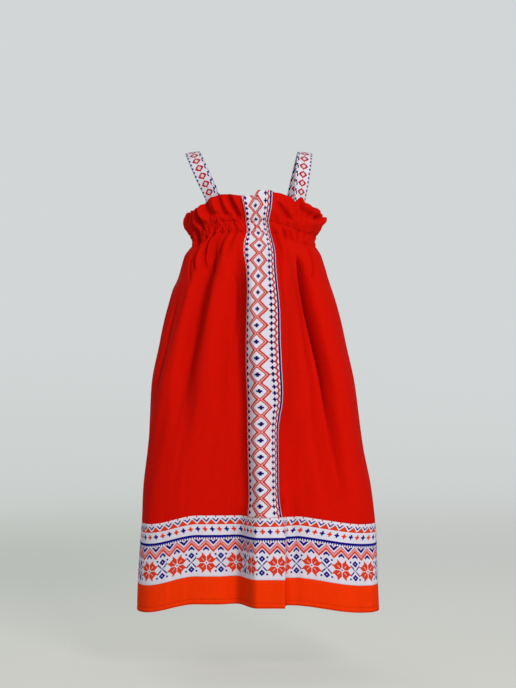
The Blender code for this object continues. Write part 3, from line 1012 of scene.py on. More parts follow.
class Group:
    """A shader node group with named inputs and outputs."""

    def __init__(self, name: str, inputs: dict[str, float], outputs: Iterable[str]) -> None:
        """Make the group.

        Args:
            name: Its name.
            inputs: Its inputs and their values when nothing feeds them.
            outputs: Its outputs.
        """
        self.tree = bpy.data.node_groups.new(name, "ShaderNodeTree")
        for title, value in inputs.items():
            socket = self.tree.interface.new_socket(name=title, in_out="INPUT", socket_type="NodeSocketFloat")
            socket.default_value = value
        for title in outputs:
            self.tree.interface.new_socket(name=title, in_out="OUTPUT", socket_type="NodeSocketFloat")
        self.entry = self.tree.nodes.new("NodeGroupInput")
        self.exit = self.tree.nodes.new("NodeGroupOutput")

    def input(self, title: str) -> Field:
        """Return one input as a field."""
        return Field(self.tree, self.entry.outputs[title])

    def output(self, title: str, value: Field) -> None:
        """Feed one output."""
        plug(self.tree, value, self.exit.inputs[title])

    def place(self, tree: Tree, **values: Number) -> dict[str, Field]:
        """Put the group in a material.

        Args:
            tree: The material's tree.
            values: What feeds each input.

        Returns:
            Its outputs by name.
        """
        node = tree.nodes.new("ShaderNodeGroup")
        node.node_tree = self.tree
        for title, value in values.items():
            plug(tree, value, node.inputs[title])
        return {socket.name: Field(tree, socket) for socket in node.outputs}


def noise(tree: Tree, x: Field, y: Field, detail: float = 2.0) -> Field:
    """Read a noise texture over the flat cloth.

    Args:
        tree: The node tree.
        x: Its first coordinate, with one blotch to a unit.
        y: Its second.
        detail: How many finer octaves it has.

    Returns:
        Numbers about 0.5.
    """
    spot = tree.nodes.new("ShaderNodeCombineXYZ")
    plug(tree, x, spot.inputs["X"])
    plug(tree, y, spot.inputs["Y"])
    node = tree.nodes.new("ShaderNodeTexNoise")
    node.noise_dimensions = "2D"
    node.inputs["Scale"].default_value = 1.0
    node.inputs["Detail"].default_value = detail
    tree.links.new(spot.outputs[0], node.inputs["Vector"])
    return Field(tree, node.outputs["Fac"])


def weave_group() -> Group:
    """Make plain weave: threads cross over and under, and vary in thickness along their length.

    Returns:
        A group of Along, Down and Pitch in metres, with a Height from 0 to 1 and a Tone about 0.5.
    """
    group = Group("plain_weave", {"Along": 0.0, "Down": 0.0, "Pitch": 0.0005}, ("Height", "Tone"))
    along, down = (group.input(title) / group.input("Pitch") for title in ("Along", "Down"))
    over = (along * math.pi).math("SINE") * (down * math.pi).math("SINE")
    warp = noise(group.tree, along * 0.5, down * 0.02)
    weft = noise(group.tree, along * 0.02, down * 0.5)
    group.output("Height", over * 0.35 + warp * 0.35 + weft * 0.35)
    group.output("Tone", warp * 0.5 + weft * 0.5)
    return group


def tone_group() -> Group:
    """Make the slow change of tone in dyed cloth, from broad blotches and long faint creases.

    Returns:
        A group of Along and Down in metres, with a Tone and a Crease height, both about 0.5.
    """
    group = Group("cloth_tone", {"Along": 0.0, "Down": 0.0}, ("Tone", "Crease"))
    along, down = group.input("Along"), group.input("Down")
    broad = noise(group.tree, along * 16.0, down * 9.0, 3.0)
    fine = noise(group.tree, along * 120.0, down * 60.0, 3.0)
    group.output("Tone", broad * 0.65 + fine * 0.35)
    long = noise(group.tree, along * 55.0 + down * 14.0, down * 12.0, 3.0)
    short = noise(group.tree, along * 150.0 - down * 60.0, down * 90.0, 2.0)
    group.output("Crease", long * 0.7 + short * 0.3)
    return group


def mix_colour(
    tree: Tree, share: Number, first: Union[Colour, Socket], second: Union[Colour, Socket], blend: str = "MIX"
) -> Socket:
    """Mix two colours.

    Args:
        tree: The node tree.
        share: 0 for the first, 1 for the second.
        first: A colour or a socket.
        second: A colour or a socket.
        blend: How the second is laid on the first.

    Returns:
        The colour's socket.
    """
    node = tree.nodes.new("ShaderNodeMix")
    node.data_type = "RGBA"
    node.blend_type = blend
    plug(tree, share, node.inputs["Factor"])
    for slot, colour in zip([s for s in node.inputs if s.type == "RGBA"], (first, second)):
        if isinstance(colour, tuple):
            slot.default_value = (*colour, 1.0)
        else:
            tree.links.new(colour, slot)
    return next(s for s in node.outputs if s.type == "RGBA")


@dataclass(frozen=True)
class BorderPattern:
    """The border's rows of motifs, in cells: down from its top edge, and along in repeats of 48."""

    cell: float = 0.001125
    first_star: float = 0.0264
    star_column: float = 12.0

    def masks(self, along: Field, down: Field) -> tuple[Field, Field]:
        """Chart the pattern.

        Args:
            along: Places round the dress, in metres.
            down: Lengths below the top edge of the dress, in metres.

        Returns:
            The masks of the red and of the blue thread.
        """
        u = ((along - self.first_star) * (1 / self.cell) + self.star_column).floor() + 0.5
        v = ((down - CUT.border_top) * (1 / self.cell)).floor() + 0.5
        # Notches of panel cloth in the top edge, a small V under each, and red triangles between
        away = u.near(0.0, 16.0)
        red = (v < 2.6) & (away < 1.1)
        blue = (away * 1.15 + v).between(7.5, 11.0) & (v > 4.4)
        red = red | ((v - u.near(8.0, 16.0) > 5.8) & (v < 13.6))
        # Crosses, in turn blue and red
        x, y = u.near(0.5, 12.0), abs(v - 21.5)
        low, high = x.least(y), x | y
        cross = ((low < 1.1) & (high < 3.1)) | ((low < 0.6) & (high < 4.1))
        other = u.near(0.0, 24.0) < 6.0
        red, blue = red | (cross & (1.0 - other)), blue | (cross & other)
        # The line with its teeth, and the broad Vs with a red dot in each
        away = u.near(0.0, 24.0)
        blue = blue | v.between(31.0, 34.9) | (v.between(34.0, 36.9) & (u.near(0.0, 4.0) < 1.1))
        blue = blue | ((v + away * 1.1).between(42.0, 46.8) & (v > 38.0))
        red = red | (v.between(37.0, 39.4) & (away < 1.1))
        # The double zigzag and the caret under each of its peaks
        edge, peak = v + away, u.near(12.0, 24.0)
        red = red | edge.between(49.4, 51.6) | (edge.between(51.6, 52.4) * 0.2) | edge.between(52.4, 53.6)
        red = red | (edge.between(53.6, 54.4) * 0.4) | edge.between(54.4, 58.6)
        blue = blue | ((v - peak).between(48.4, 53.0) & (v < 55.6) & (peak < 5.1))
        # Stars of eight leaves, split by a white cross, with a dark dot in the heart
        x, y = u.near(12.5, 48.0), abs(v - 75.5)
        low, high, both = x.least(y), x | y, x + y
        leaf = (low > 0.6) & (high - low < 9.1) & ((low < 7.1) | (both < 19.6)) & (both > 4.1)
        red = red | (leaf & (1.0 - ((high - low < 0.6) & both.between(7.9, 14.1))))
        blue = blue | (both < 1.1)
        # Between the stars two lozenges, the thin X between them and four dots
        x, y = u.near(36.0, 48.0), abs(v - 75.0)
        rim, slip = x + abs(y - 11.0), abs(x - y)
        blue = blue | ((rim < 5.6) * ((rim > 1.6) * 0.6 + 0.4))
        blue = blue | ((slip < 1.1) & (x < 7.6) & ((x > 2.1) | (slip < 0.6)))
        return red, blue | ((abs(x - 8.5) < 1.1) & (abs(y - 13.5) < 1.1))


@dataclass(frozen=True)
class BandPattern:
    """The centre band's chain of lozenges, in cells: across from its left edge and along its length."""

    unit_across: float = 0.081 / 56
    unit_along: float = 0.00112
    first_lozenge: float = 0.0080

    def masks(self, across: Field, down: Field) -> tuple[Field, Field]:
        """Chart the pattern.

        Args:
            across: Places round the dress, in metres.
            down: Lengths along the band, in metres.

        Returns:
            The masks of the red and of the blue thread.
        """
        u = (((across + CUT.band_width / 2) * (2 / self.unit_across)).floor() + 0.5) * 0.5
        v = (((down - self.first_lozenge) * (2 / self.unit_along)).floor() + 0.5) * 0.5
        centre, along = abs(u - 24.5), v.near(0.5, 26.0)
        inside = 16.0 - centre - along * 0.862
        dots = v.near(0.0, 2.0) * 0.4 + 0.8
        red = inside.between(0.0, 3.2) | (inside.between(3.2, 4.4) * 0.34) | (inside.between(4.4, 6.7) * dots)
        blue = self.cross(centre * (1 / 3.6), along * (1 / 3.7)) | u.between(51.3, 54.9)
        for column in (5.5, 43.5):
            blue = blue | self.cross(abs(u - column) * (1 / 2.9), v.near(5.5, 10.0) * (1 / 3.4))
        wave = v.near(0.5, 10.0)
        scallops = (abs(u - 50.0 + wave * 0.54) < 1.5) | (abs(u - 1.5 - wave * 0.4) < 1.2)
        return red | scallops, blue

    def cross(self, x: Field, y: Field) -> Field:
        """Chart a thick cross, notched at its corners, from shares of its half width and half height."""
        return ((x < 0.35) & (y < 1.0)) | ((y < 0.34) & (x < 1.0)) | (x + y < 0.95)


@dataclass(frozen=True)
class StrapPattern:
    """A strap's row of lozenges between two lines of small marks, in cells."""

    cell: float = 0.00115

    def masks(self, across: Field, along: Field) -> tuple[Field, Field]:
        """Chart the pattern.

        Args:
            across: Places across the strap from its middle, its neck side positive, in metres.
            along: Lengths along the strap from its front end, in metres.

        Returns:
            The masks of the red and of the blue thread.
        """
        u, v = ((place * (1 / self.cell)).floor() + 0.5 for place in (across, along))
        away = v.near(7.0, 14.0)
        lozenge = abs(u) + away * 1.1
        red = lozenge.between(3.4, 7.4) | ((lozenge < 3.4) * 0.16)
        red = red | (((abs(u - 11.0) < 1.1) & (away > 5.9)) * 0.6)
        blue = ((abs(u + 10.5) < 1.1) & (v.near(3.5, 7.0) < 1.6)) | ((abs(u + 11.0) < 0.6) * 0.2)
        blue = blue | ((abs(u - 9.0) < 1.1) & v.near(4.5, 14.0).between(-1.0, 2.1))
        return red, blue | ((abs(u - 10.5) < 1.1) & (v.near(9.0, 14.0) < 2.1))


class Pattern(Enum):
    """The counted patterns woven into the white cloth."""

    NONE = None
    BORDER = BorderPattern()
    BAND = BandPattern()
    STRAP = StrapPattern()


@dataclass(frozen=True)
class ClothFinish:
    """A woven cloth: its dye, the thread colours of its pattern, its weave, its roughness and a painted shade for its
    folds.
    """

    name: str
    colour: Colour
    shade: Colour
    pattern: Pattern = Pattern.NONE
    red_thread: Colour = (0.0, 0.0, 0.0)
    blue_thread: Colour = (0.006, 0.003, 0.110)
    pitch: float = 0.00052
    weave: float = 0.00005
    crease: float = 0.0004
    roughness: float = 0.70
    # Painted shade: the colour that the cloth is multiplied by where it lies deepest in a fold.
    painted_fold_shade: Colour = (0.42, 0.36, 0.36)

    def material(self, weave: Group, tone: Group) -> Material:
        """Make the material.

        Args:
            weave: The plain weave group.
            tone: The tone group.

        Returns:
            The material, reading the UV map "cloth" in metres and the attribute "hollow", which darkens its colour in
            folds as painted shade.
        """
        material = bpy.data.materials.new(self.name)
        material.use_nodes = True
        tree = material.node_tree
        shader = tree.nodes["Principled BSDF"]
        cloth, split, hollow, bump = (
            tree.nodes.new("ShaderNode" + kind) for kind in ("UVMap", "SeparateXYZ", "Attribute", "Bump")
        )
        cloth.uv_map = "cloth"
        tree.links.new(cloth.outputs[0], split.inputs[0])
        along, down = (Field(tree, split.outputs[axis]) for axis in "XY")
        thread = weave.place(tree, Along=along, Down=down, Pitch=self.pitch)
        slow = tone.place(tree, Along=along, Down=down)
        ground = mix_colour(tree, (slow["Tone"] - 0.3) * 2.2, self.shade, self.colour)
        if self.pattern is not Pattern.NONE:
            red, blue = self.pattern.value.masks(along, down)
            ground = mix_colour(tree, red, ground, self.red_thread)
            ground = mix_colour(tree, blue, ground, self.blue_thread)
        grain = mix_colour(tree, (thread["Tone"] - 0.35) * 3.0, (0.92, 0.92, 0.92), (1.04, 1.04, 1.04))
        ground = mix_colour(tree, 1.0, ground, grain, "MULTIPLY")
        # Painted shade: the colour is multiplied towards the fold shade where the cloth lies deep in a fold.
        hollow.attribute_name = "hollow"
        dark = mix_colour(tree, Field(tree, hollow.outputs["Fac"]), (1.0, 1.0, 1.0), self.painted_fold_shade)
        tree.links.new(mix_colour(tree, 1.0, ground, dark, "MULTIPLY"), shader.inputs["Base Color"])
        plug(tree, slow["Tone"] * 0.16 + self.roughness, shader.inputs["Roughness"])
        shader.inputs["Specular IOR Level"].default_value = 0.015
        bump.inputs["Strength"].default_value = 0.8
        bump.inputs["Distance"].default_value = 1.0
        plug(tree, slow["Crease"] * self.crease + thread["Height"] * self.weave, bump.inputs["Height"])
        tree.links.new(bump.outputs[0], shader.inputs["Normal"])
        return material


# The pieces

STITCH_ROWS = np.array([-1.3, -0.7, 0.0, 0.7, 1.3])
ROW_CLEAR, ROW_LEAST = 0.0004, 0.00045


def fine_rows(first: float, last: float, pitch: float) -> Array:
    """Space rows evenly, with closer ones on each side of every stitch line between them.

    Args:
        first: The first row.
        last: The last row.
        pitch: The greatest gap between two.

    Returns:
        The rows.
    """
    rows = np.linspace(first, last, max(int(round((last - first) / pitch)), 2) + 1)
    for line in STITCH_LINES:
        near = line.down + line.width * STITCH_ROWS
        rows = np.concatenate([rows, near[(near > first + ROW_CLEAR) & (near < last - ROW_CLEAR)]])
    rows = np.sort(rows)
    rows = rows[np.concatenate([[True], np.diff(rows) > ROW_LEAST])]
    rows[-1] = last
    return rows


@dataclass(frozen=True)
class ClothSide:
    """One side of the dress: its three cloth pieces, from its left seam to its right seam."""

    name: str
    first: float
    last: float
    fine_columns: int = 420
    fine_end: float = 0.132
    fine_pitch: float = 0.0024
    coarse_pitch: float = 0.0062
    join: float = 0.003
    strip_pitch: float = 0.0045

    def columns(self, count: int) -> Array:
        """Return places from seam to seam, drawn in by half the gap at each."""
        return np.linspace(self.first + SEAM_GAP / 2, self.last - SEAM_GAP / 2, count + 1)

    def panel(self, cloth: Cloth, material: Material) -> Piece:
        """Make the red panel: close columns where it is gathered, wider ones below.

        Args:
            cloth: The cloth's surface.
            material: Its finish.

        Returns:
            The panel.
        """
        upper = cloth.patch(self.columns(self.fine_columns), fine_rows(0.0, self.fine_end, self.fine_pitch))
        rows = fine_rows(self.fine_end + self.join, CUT.border_top - SEAM_GAP / 2, self.coarse_pitch)
        lower = cloth.patch(self.columns(self.fine_columns // 2), rows)
        work = Patchwork()
        top, bottom = (work.add_grid(part.points, part.flat) for part in (upper, lower))
        work.join_two_to_one(top[-1], bottom[0])
        sheet = Sheet(self.name + "_panel", "red_cloth", (CUT.around / 2, CUT.border_top), "gathered")
        return sheet.make(work, material, np.concatenate([upper.hollow.ravel(), lower.hollow.ravel()]))

    def strip(self, cloth: Cloth, kind: str, top: float, foot: float, slot: str, material: Material) -> Piece:
        """Make a strip sewn on below the panel.

        Args:
            cloth: The cloth's surface.
            kind: The strip's name.
            top: Its upper seam.
            foot: Its lower seam or edge.
            slot: The record's material slot.
            material: Its finish.

        Returns:
            The strip.
        """
        end = foot - (SEAM_GAP / 2 if foot < CUT.hem else 0.0)
        rows = fine_rows(top + SEAM_GAP / 2, end, self.strip_pitch)
        surface = cloth.patch(self.columns(self.fine_columns // 2), rows)
        work = Patchwork()
        work.add_grid(surface.points, surface.flat)
        sheet = Sheet(f"{self.name}_{kind}", slot, (CUT.around / 2, foot - top), "hung")
        return sheet.make(work, material, surface.hollow)


class Slack(NamedTuple):
    """Where a length along the band's own cloth lies on the dress: its gathers take up cloth."""

    down: float
    along: float


BAND_SLACK = table(
    Slack, (0, -13), (23.5, 10.05), (48, 39.3), (75.5, 68.55), (98, 97), (125, 125), (582, 582)
)


@dataclass(frozen=True)
class CentreBand:
    """The patterned band down the middle of the front, lying on the panel."""

    lift: float = 0.0011
    thickness: float = 0.0007
    columns: int = 84
    fine_end: float = 0.150
    fine_pitch: float = 0.0012
    coarse_pitch: float = 0.0035
    edge_width: float = 0.0018
    edge_drop: float = 0.0004

    def make(self, cloth: Cloth, material: Material) -> Piece:
        """Make the band from the panel's surface, moved out along its normals.

        Args:
            cloth: The cloth's surface.
            material: Its finish.

        Returns:
            The band.
        """
        half = CUT.band_width / 2
        upper = fine_rows(0.0, self.fine_end, self.fine_pitch)
        lower = fine_rows(self.fine_end, CUT.border_top - SEAM_GAP / 2, self.coarse_pitch)
        rows = np.concatenate([upper, lower[1:]])
        surface = cloth.patch(np.linspace(-half, half, self.columns + 1), rows)
        edge = np.clip((half - np.abs(surface.place)) / self.edge_width, 0.0, 1.0)
        stand = self.lift - self.edge_drop * (1 - edge)
        along = np.interp(surface.down, *zip(*BAND_SLACK))
        work = Patchwork()
        work.add_grid(surface.points + surface.facing * stand[..., None], np.stack([surface.place, along], -1))
        cut = (CUT.band_width, CUT.border_top)
        return Sheet("centre_band", "patterned_cloth", cut, "gathered", self.thickness).make(work, material)


@dataclass(frozen=True)
class Strap:
    """A shoulder strap: up its front leg, over the shoulder in an arch, and down its back leg."""

    name: str
    front_x: float
    back_x: float
    top_x: float = 0.103
    foot_down: float = 0.061
    spring_z: float = -0.088
    foot_z: float = -0.147
    wall: float = 0.0016
    tilt: float = 8.0
    spring_reach: float = 0.87
    rounding: float = 0.85
    crown: float = 5.0
    arch_cells: int = 110
    leg_cells: int = 24
    cells_across: int = 16
    thickness: float = 0.0014
    edge_width: float = 0.0016
    edge_drop: float = 0.0003
    ripple: float = 0.0003
    stitch_clear: float = 0.002

    @property
    def side(self) -> float:
        """Which side it is on: 1 is the right."""
        return -1.0 if self.front_x < 0 else 1.0

    def foot(self, cloth: Cloth, x: float, at_front: bool) -> tuple[float, Array]:
        """Find where a leg stands, just inside the casing.

        Args:
            cloth: The cloth.
            x: How far to the right it stands.
            at_front: Whether it is the front leg.

        Returns:
            Its depth, and the direction to the right along the casing.
        """
        turn = np.radians(np.linspace(-88, 88, cloth.samples)) + (0.0 if at_front else math.pi)
        points, out, right = cloth.ring(turn, np.full_like(turn, self.foot_down))
        plan = points - out * (WALL / 2 + SEAM_GAP + self.wall)
        nearest = int(np.argmin(np.abs(plan[:, 0] - x)))
        return plan[nearest, 1], right[nearest] * (1 if at_front else -1)

    def path(self, cloth: Cloth) -> tuple[Array, Array, Array]:
        """Draw its middle line: two upright legs, joined by an arch of squared sine and cosine.

        Args:
            cloth: The cloth.

        Returns:
            Points, and the rightward directions at its front and back legs.
        """
        front_y, front_right = self.foot(cloth, self.front_x, True)
        back_y, back_right = self.foot(cloth, self.back_x, False)
        angle = np.linspace(0, math.pi, self.arch_cells + 1)
        reach = self.spring_reach * np.abs(np.cos(angle)) ** self.rounding
        rise = 1 - np.sin(angle) ** self.rounding
        leg = np.linspace(self.foot_z, self.spring_z, self.leg_cells + 1)[:-1]
        lean = np.linspace(1.0, self.spring_reach, self.leg_cells + 1)[:-1]
        reach = np.concatenate([lean, reach, lean[::-1]])
        at_front = np.arange(len(reach)) <= len(reach) // 2
        upright = np.ones(self.leg_cells)
        slant = np.concatenate([upright, rise, upright])
        top_x = self.side * self.top_x
        x = top_x + (np.where(at_front, self.front_x, self.back_x) - top_x) * slant
        z = np.concatenate([leg, self.spring_z * rise, leg[::-1]])
        return np.stack([x, np.where(at_front, front_y, back_y) * reach, z], 1), front_right, back_right

    def surface(self, cloth: Cloth) -> tuple[Array, Array, Array, Array]:
        """Place its outer face: a flat strip with a slight crown, curved to the heading at both ends.

        Args:
            cloth: The cloth.

        Returns:
            The grid, its outward directions, its places across and its lengths along.
        """
        path, front_right, back_right = self.path(cloth)
        along = np.gradient(path, axis=0)
        along /= np.linalg.norm(along, axis=1, keepdims=True)
        tilt = math.radians(self.tilt)
        shoulder = np.array([math.cos(tilt), 0.0, -self.side * math.sin(tilt)])
        height = np.clip(1 - path[:, 2] / self.spring_z, 0.0, 1.0)[:, None]
        across = np.where(path[:, 1:2] < 0, front_right, back_right) * (1 - height) + shoulder * height
        across -= along * np.sum(across * along, axis=1, keepdims=True)
        across /= np.linalg.norm(across, axis=1, keepdims=True)
        facing = np.cross(across, along)
        places = np.linspace(-CUT.strap_width / 2, CUT.strap_width / 2, self.cells_across + 1)
        run = np.concatenate([[0.0], np.cumsum(np.linalg.norm(np.diff(path, axis=0), axis=1))])
        edge = np.clip((CUT.strap_width / 2 - np.abs(places)) / self.edge_width, 0.0, 1.0)
        crown = self.wall - self.crown * places**2 - self.edge_drop * (1 - edge)
        ripple = self.ripple * np.sin(run[:, None] * 150.0 + places[None, :] * 90.0)
        grid = path[:, None] + places[None, :, None] * across[:, None]
        return grid + (crown[None, :] + ripple)[..., None] * facing[:, None], facing, places, run

    def make(self, cloth: Cloth, material: Material) -> Piece:
        """Make the strap.

        Args:
            cloth: The cloth.
            material: Its finish.

        Returns:
            The strap.
        """
        grid, _, places, run = self.surface(cloth)
        flat = np.stack(np.broadcast_arrays(-self.side * places[None, :], run[:, None]), -1)
        work = Patchwork()
        work.add_grid(grid[::-1], flat[::-1])
        cut = (CUT.strap_width, float(run[-1]))
        return Sheet(self.name, "patterned_cloth", cut, "hung", self.thickness).make(work, material)

    def edges(self, cloth: Cloth, marks: Callable[[float, float], Array]) -> Iterator[tuple[Array, Array]]:
        """Follow the stitched line inside each edge.

        Args:
            cloth: The cloth.
            marks: Returns the stitches' ends between two lengths.

        Yields:
            Points and outward directions at each mark.
        """
        grid, facing, _, run = self.surface(cloth)
        lengths = marks(self.stitch_clear, float(run[-1]) - self.stitch_clear)
        for column in (1, -2):
            line, out = (
                np.stack([np.interp(lengths, run, way[:, axis]) for axis in range(3)], -1)
                for way in (grid[:, column], facing)
            )
            yield line, out


@dataclass(frozen=True)
class Thread:
    """Machine stitches of one thread: small four-sided spindles that lie on the cloth."""

    name: str
    slot: str
    finish: ClothFinish
    pitch: float = 0.0031
    length: float = 0.0024
    radius: float = 0.00026

    def marks(self, first: float, last: float) -> Array:
        """Return where each stitch starts and ends, in turn, from first to last."""
        starts = np.arange(first, last - self.length, self.pitch)
        return np.stack([starts, starts + self.length], -1).ravel()

    def lay(self, work: Patchwork, points: Array, facing: Array) -> None:
        """Add one line of stitches, each with two tips and two rings of four points.

        Args:
            work: The mesh that they are added to.
            points: Starts and ends in turn, on the cloth.
            facing: The cloth's outward directions there.
        """
        run = points[1::2] - points[0::2]
        axis = run / np.linalg.norm(run, axis=1, keepdims=True)
        side = np.cross(facing[0::2] + facing[1::2], axis)
        side /= np.linalg.norm(side, axis=1, keepdims=True)
        up = np.cross(axis, side)
        share = np.repeat([0.0, 0.25, 0.75, 1.0], [1, 4, 4, 1])
        angle = np.radians([0, *(45, 135, 225, 315) * 2, 0])
        size = self.radius * np.array([0, *(1,) * 8, 0])
        stitch = points[0::2, None] + run[:, None] * share[None, :, None]
        stitch = stitch + side[:, None] * (size * np.cos(angle))[None, :, None]
        stitch = stitch + up[:, None] * (size * (np.sin(angle) + 0.5))[None, :, None]
        flat = np.stack([share * self.length, angle * self.radius], -1)
        first = work.add_points(stitch, np.broadcast_to(flat, (*stitch.shape[:2], 2)))
        numbers = first + 10 * np.arange(len(run))[:, None]
        for j, k in ((0, 1), (1, 2), (2, 3), (3, 0)):
            for corners in ((0, 1 + k, 1 + j), (1 + j, 1 + k, 5 + k, 5 + j), (5 + j, 5 + k, 9)):
                work.faces += (numbers + np.array(corners)).tolist()


def seam(cloth: Cloth, places: Array, rows: Array, sink: float = 0.0) -> tuple[Array, Array]:
    """Follow the cloth round or down, on top of the centre band where it crosses or runs along it.

    Args:
        cloth: The cloth's surface.
        places: Where the stitches start and end round it, or one place.
        rows: Where they start and end down it, or one level.
        sink: How far they are sunk in.

    Returns:
        Points and outward directions.
    """
    surface = cloth.patch(places, rows)
    over = (np.abs(wrap(surface.place)) < CUT.band_width / 2 + 0.001) & (surface.down < CUT.border_top)
    stand = np.where(over, CentreBand.lift, 0.0) - sink
    points = surface.points + surface.facing * stand[..., None]
    return points.reshape(-1, 3), surface.facing.reshape(-1, 3)


# The studio


@dataclass(frozen=True)
class Lamp:
    """A square soft light: where it stands, its size, power and tint."""

    name: str
    place: tuple[float, float, float]
    size: float
    power: float
    tint: Colour
    target: tuple[float, float, float] = (0.0, 0.0, -0.45)

    def make(self) -> None:
        """Put the light in the scene, turned to its target and hidden from the camera."""
        data = bpy.data.lights.new(self.name, "AREA")
        data.shape = "SQUARE"
        data.size = self.size
        data.energy = self.power
        data.color = self.tint
        lamp = bpy.data.objects.new(self.name, data)
        lamp.location = self.place
        x, y, z = np.array(self.target) - np.array(self.place)
        lamp.rotation_euler = (math.atan2(math.hypot(x, y), -z), 0.0, math.atan2(-x, y))
        lamp.visible_camera = False
        bpy.context.scene.collection.objects.link(lamp)


@dataclass(frozen=True)
class Studio:
    """A pale floor that curves up into a wall all round and glows with painted light, a camera and soft lights."""

    floor_z: float = -0.95
    inner_radius: float = 0.4
    flat_radius: float = 3.6
    wall_radius: float = 6.4
    wall_height: float = 6.0
    paper: Colour = (0.25, 0.25, 0.245)
    camera_place: tuple[float, float, float] = (0.0169, -3.4, -0.351)
    lens: float = 96.7
    sensor: float = 36.0
    world: Colour = (0.97, 0.99, 1.0)
    world_strength: float = 0.44
    wall_glow: Colour = (0.515, 0.542, 0.543)
    floor_glow: Colour = (0.405, 0.415, 0.382)
    left_glow: Colour = (0.305, 0.328, 0.298)
    right_glow: Colour = (0.370, 0.380, 0.362)
    lamps: tuple[Lamp, ...] = (
        Lamp("key", (1.3, -3.3, 0.9), 1.0, 92.0, (1.0, 0.985, 0.97)),
        Lamp("back", (-1.6, 3.2, 1.3), 1.6, 24.0, (0.97, 0.99, 1.0)),
    )

    def backdrop(self) -> None:
        """Turn a profile round the upright axis: a flat floor, a quarter circle and a wall."""
        bend = self.wall_radius - self.flat_radius
        angle = np.linspace(0.0, math.pi / 2, 19)[1:]
        floor = np.linspace(self.inner_radius, self.flat_radius, 6)
        radius = np.concatenate([floor, self.flat_radius + bend * np.sin(angle), [self.wall_radius]])
        height = np.concatenate([floor * 0, bend * (1 - np.cos(angle)), [self.wall_height]])
        turn = np.linspace(0.0, 2 * math.pi, 97)
        circle = np.stack([np.cos(turn), np.sin(turn), np.zeros_like(turn)], -1)
        grid = radius[::-1, None, None] * circle[None]
        grid[..., 2] = self.floor_z + height[::-1, None]
        work = Patchwork()
        number = work.add_grid(grid[:, ::-1], grid[:, ::-1, :2])
        work.faces.append(number[-1, :0:-1].tolist())
        mesh = work.mesh("backdrop")
        mesh.materials.append(self.backdrop_paper())
        wall = bpy.data.objects.new("backdrop", mesh)
        wall.visible_shadow = False
        wall.visible_diffuse = False
        bpy.context.scene.collection.objects.link(wall)

    def backdrop_paper(self) -> Material:
        """Grade the backdrop's own light, a painted glow: dimmest on the floor behind the dress, brightest on the
        wall, with painted shade towards the left.

        Returns:
            The backdrop's finish.
        """
        material = bpy.data.materials.new("backdrop_paper")
        material.use_nodes = True
        tree = material.node_tree
        inputs = tree.nodes["Principled BSDF"].inputs
        place, split = (tree.nodes.new("ShaderNode" + kind) for kind in ("TexCoord", "SeparateXYZ"))
        tree.links.new(place.outputs["Object"], split.inputs[0])
        x, y = (Field(tree, split.outputs[axis]) for axis in "XY")
        radius = (x * x + y * y).math("SQRT")
        # Painted shade: the floor glows less on the left than on the right.
        dim = mix_colour(tree, x.rise(-0.7, 0.7), self.left_glow, self.right_glow)
        floor = mix_colour(tree, radius.rise(0.1, 1.9), self.floor_glow, dim)
        tree.links.new(mix_colour(tree, radius.rise(1.9, 5.6), floor, self.wall_glow), inputs["Emission Color"])
        inputs["Base Color"].default_value = (*self.paper, 1.0)
        inputs["Emission Strength"].default_value = 1.0
        inputs["Roughness"].default_value = 0.9
        inputs["Specular IOR Level"].default_value = 0.1
        return material

    def make(self) -> None:
        """Set up the backdrop, the camera, the world and the lights."""
        self.backdrop()
        scene = bpy.context.scene
        data = bpy.data.cameras.new("camera")
        data.lens = self.lens
        data.sensor_width = self.sensor
        data.clip_end = 60.0
        scene.camera = bpy.data.objects.new("camera", data)
        scene.camera.location = self.camera_place
        scene.camera.rotation_euler = (math.pi / 2, 0.0, 0.0)
        scene.collection.objects.link(scene.camera)
        scene.world = bpy.data.worlds.new("studio")
        scene.world.use_nodes = True
        back = scene.world.node_tree.nodes["Background"]
        back.inputs["Color"].default_value = (*self.world, 1.0)
        back.inputs["Strength"].default_value = self.world_strength
        scene.view_settings.view_transform = "Standard"
        for lamp in self.lamps:
            lamp.make()


# The dress

WHITE, WHITE_SHADE = (0.73, 0.70, 0.78), (0.68, 0.65, 0.73)
RED = ClothFinish("red_cloth_finish", (0.63, 0.0050, 0.0010), (0.600, 0.0046, 0.0009))
ORANGE = ClothFinish("orange_cloth_finish", (0.89, 0.037, 0.0012), (0.860, 0.035, 0.0011))
BORDER = ClothFinish(
    "border_finish", WHITE, WHITE_SHADE, Pattern.BORDER, (0.68, 0.042, 0.012), (0.010, 0.006, 0.190)
)
BAND = ClothFinish("band_finish", WHITE, WHITE_SHADE, Pattern.BAND, (0.57, 0.030, 0.002))
STRAP = ClothFinish("strap_finish", WHITE, WHITE_SHADE, Pattern.STRAP, (0.44, 0.012, 0.006))
HEM_THREAD, RED_THREAD, WHITE_THREAD = (
    ClothFinish(name + "_thread_finish", colour, shade, pitch=0.00030, weave=0.00003)
    for name, colour, shade in (
        ("hem", (0.30, 0.010, 0.002), (0.24, 0.008, 0.002)),
        ("red", (0.40, 0.005, 0.002), (0.33, 0.004, 0.001)),
        ("white", (0.74, 0.71, 0.76), (0.66, 0.63, 0.68)),
    )
)


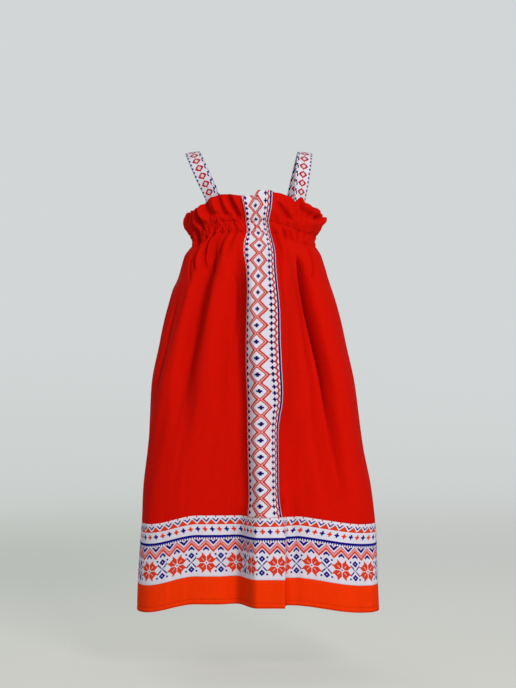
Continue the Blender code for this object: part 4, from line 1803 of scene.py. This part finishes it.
class Sarafan:
    """The whole dress."""

    straps: tuple[Strap, ...] = (Strap("strap_left", -0.066, -0.060), Strap("strap_right", 0.093, 0.080))
    seam_clear: float = 0.001
    end_clear: float = 0.002
    edge_inset: float = 0.0022
    thread_sink: float = 0.0001

    def __init__(self) -> None:
        """Set up its cloth and its finishes."""
        self.cloth = Cloth()
        weave, tone = weave_group(), tone_group()
        finishes = (RED, ORANGE, BORDER, BAND, STRAP, HEM_THREAD, RED_THREAD, WHITE_THREAD)
        self.materials = {finish: finish.material(weave, tone) for finish in finishes}

    def make(self) -> Iterator[Piece]:
        """Make every piece.

        Yields:
            The pieces.
        """
        for side in (ClothSide("front", -CUT.side, CUT.side), ClothSide("back", CUT.side, 3 * CUT.side)):
            yield side.panel(self.cloth, self.materials[RED])
            border = (CUT.border_top, CUT.hem_band_top, "patterned_cloth", self.materials[BORDER])
            yield side.strip(self.cloth, "border", *border)
            hem = (CUT.hem_band_top, CUT.hem, "orange_cloth", self.materials[ORANGE])
            yield side.strip(self.cloth, "hem_band", *hem)
        yield CentreBand().make(self.cloth, self.materials[BAND])
        for strap in self.straps:
            yield strap.make(self.cloth, self.materials[STRAP])
        yield from self.stitches()

    def stitches(self) -> Iterator[Piece]:
        """Sew the hem, the casing, the centre band and the straps.

        Yields:
            One piece for each thread.
        """
        hem = Thread("hem_stitches", "orange_cloth", HEM_THREAD)
        casing = Thread("casing_stitches", "red_cloth", RED_THREAD)
        band, strap = (Thread(name + "_stitches", "patterned_cloth", WHITE_THREAD) for name in ("band", "strap"))
        around = hem.marks(-CUT.side + self.seam_clear, 3 * CUT.side - self.seam_clear)
        rows = band.marks(self.end_clear, CUT.border_top - self.end_clear)
        reach = CUT.band_width / 2 - self.edge_inset
        lines = {
            hem: [seam(self.cloth, around, np.array([HEM_STITCH]))],
            casing: [seam(self.cloth, around, np.array([down])) for down in (CUT.heading, CUT.casing_foot)],
            band: [seam(self.cloth, np.array([place]), rows, self.thread_sink) for place in (-reach, reach)],
            strap: [line for each in self.straps for line in each.edges(self.cloth, strap.marks)],
        }
        for thread, found in lines.items():
            work = Patchwork()
            for points, facing in found:
                thread.lay(work, points, facing)
            yield work.piece(thread.name, thread.slot, self.materials[thread.finish])


def main() -> None:
    """Dress the frame and set up the studio."""
    logging.basicConfig(level=logging.INFO, format="%(name)s: %(message)s")
    for piece in Sarafan().make():
        log.info("%s: %d faces", piece.name, len(piece.data.polygons))
    Studio().make()


if __name__ == "__main__":
    main()
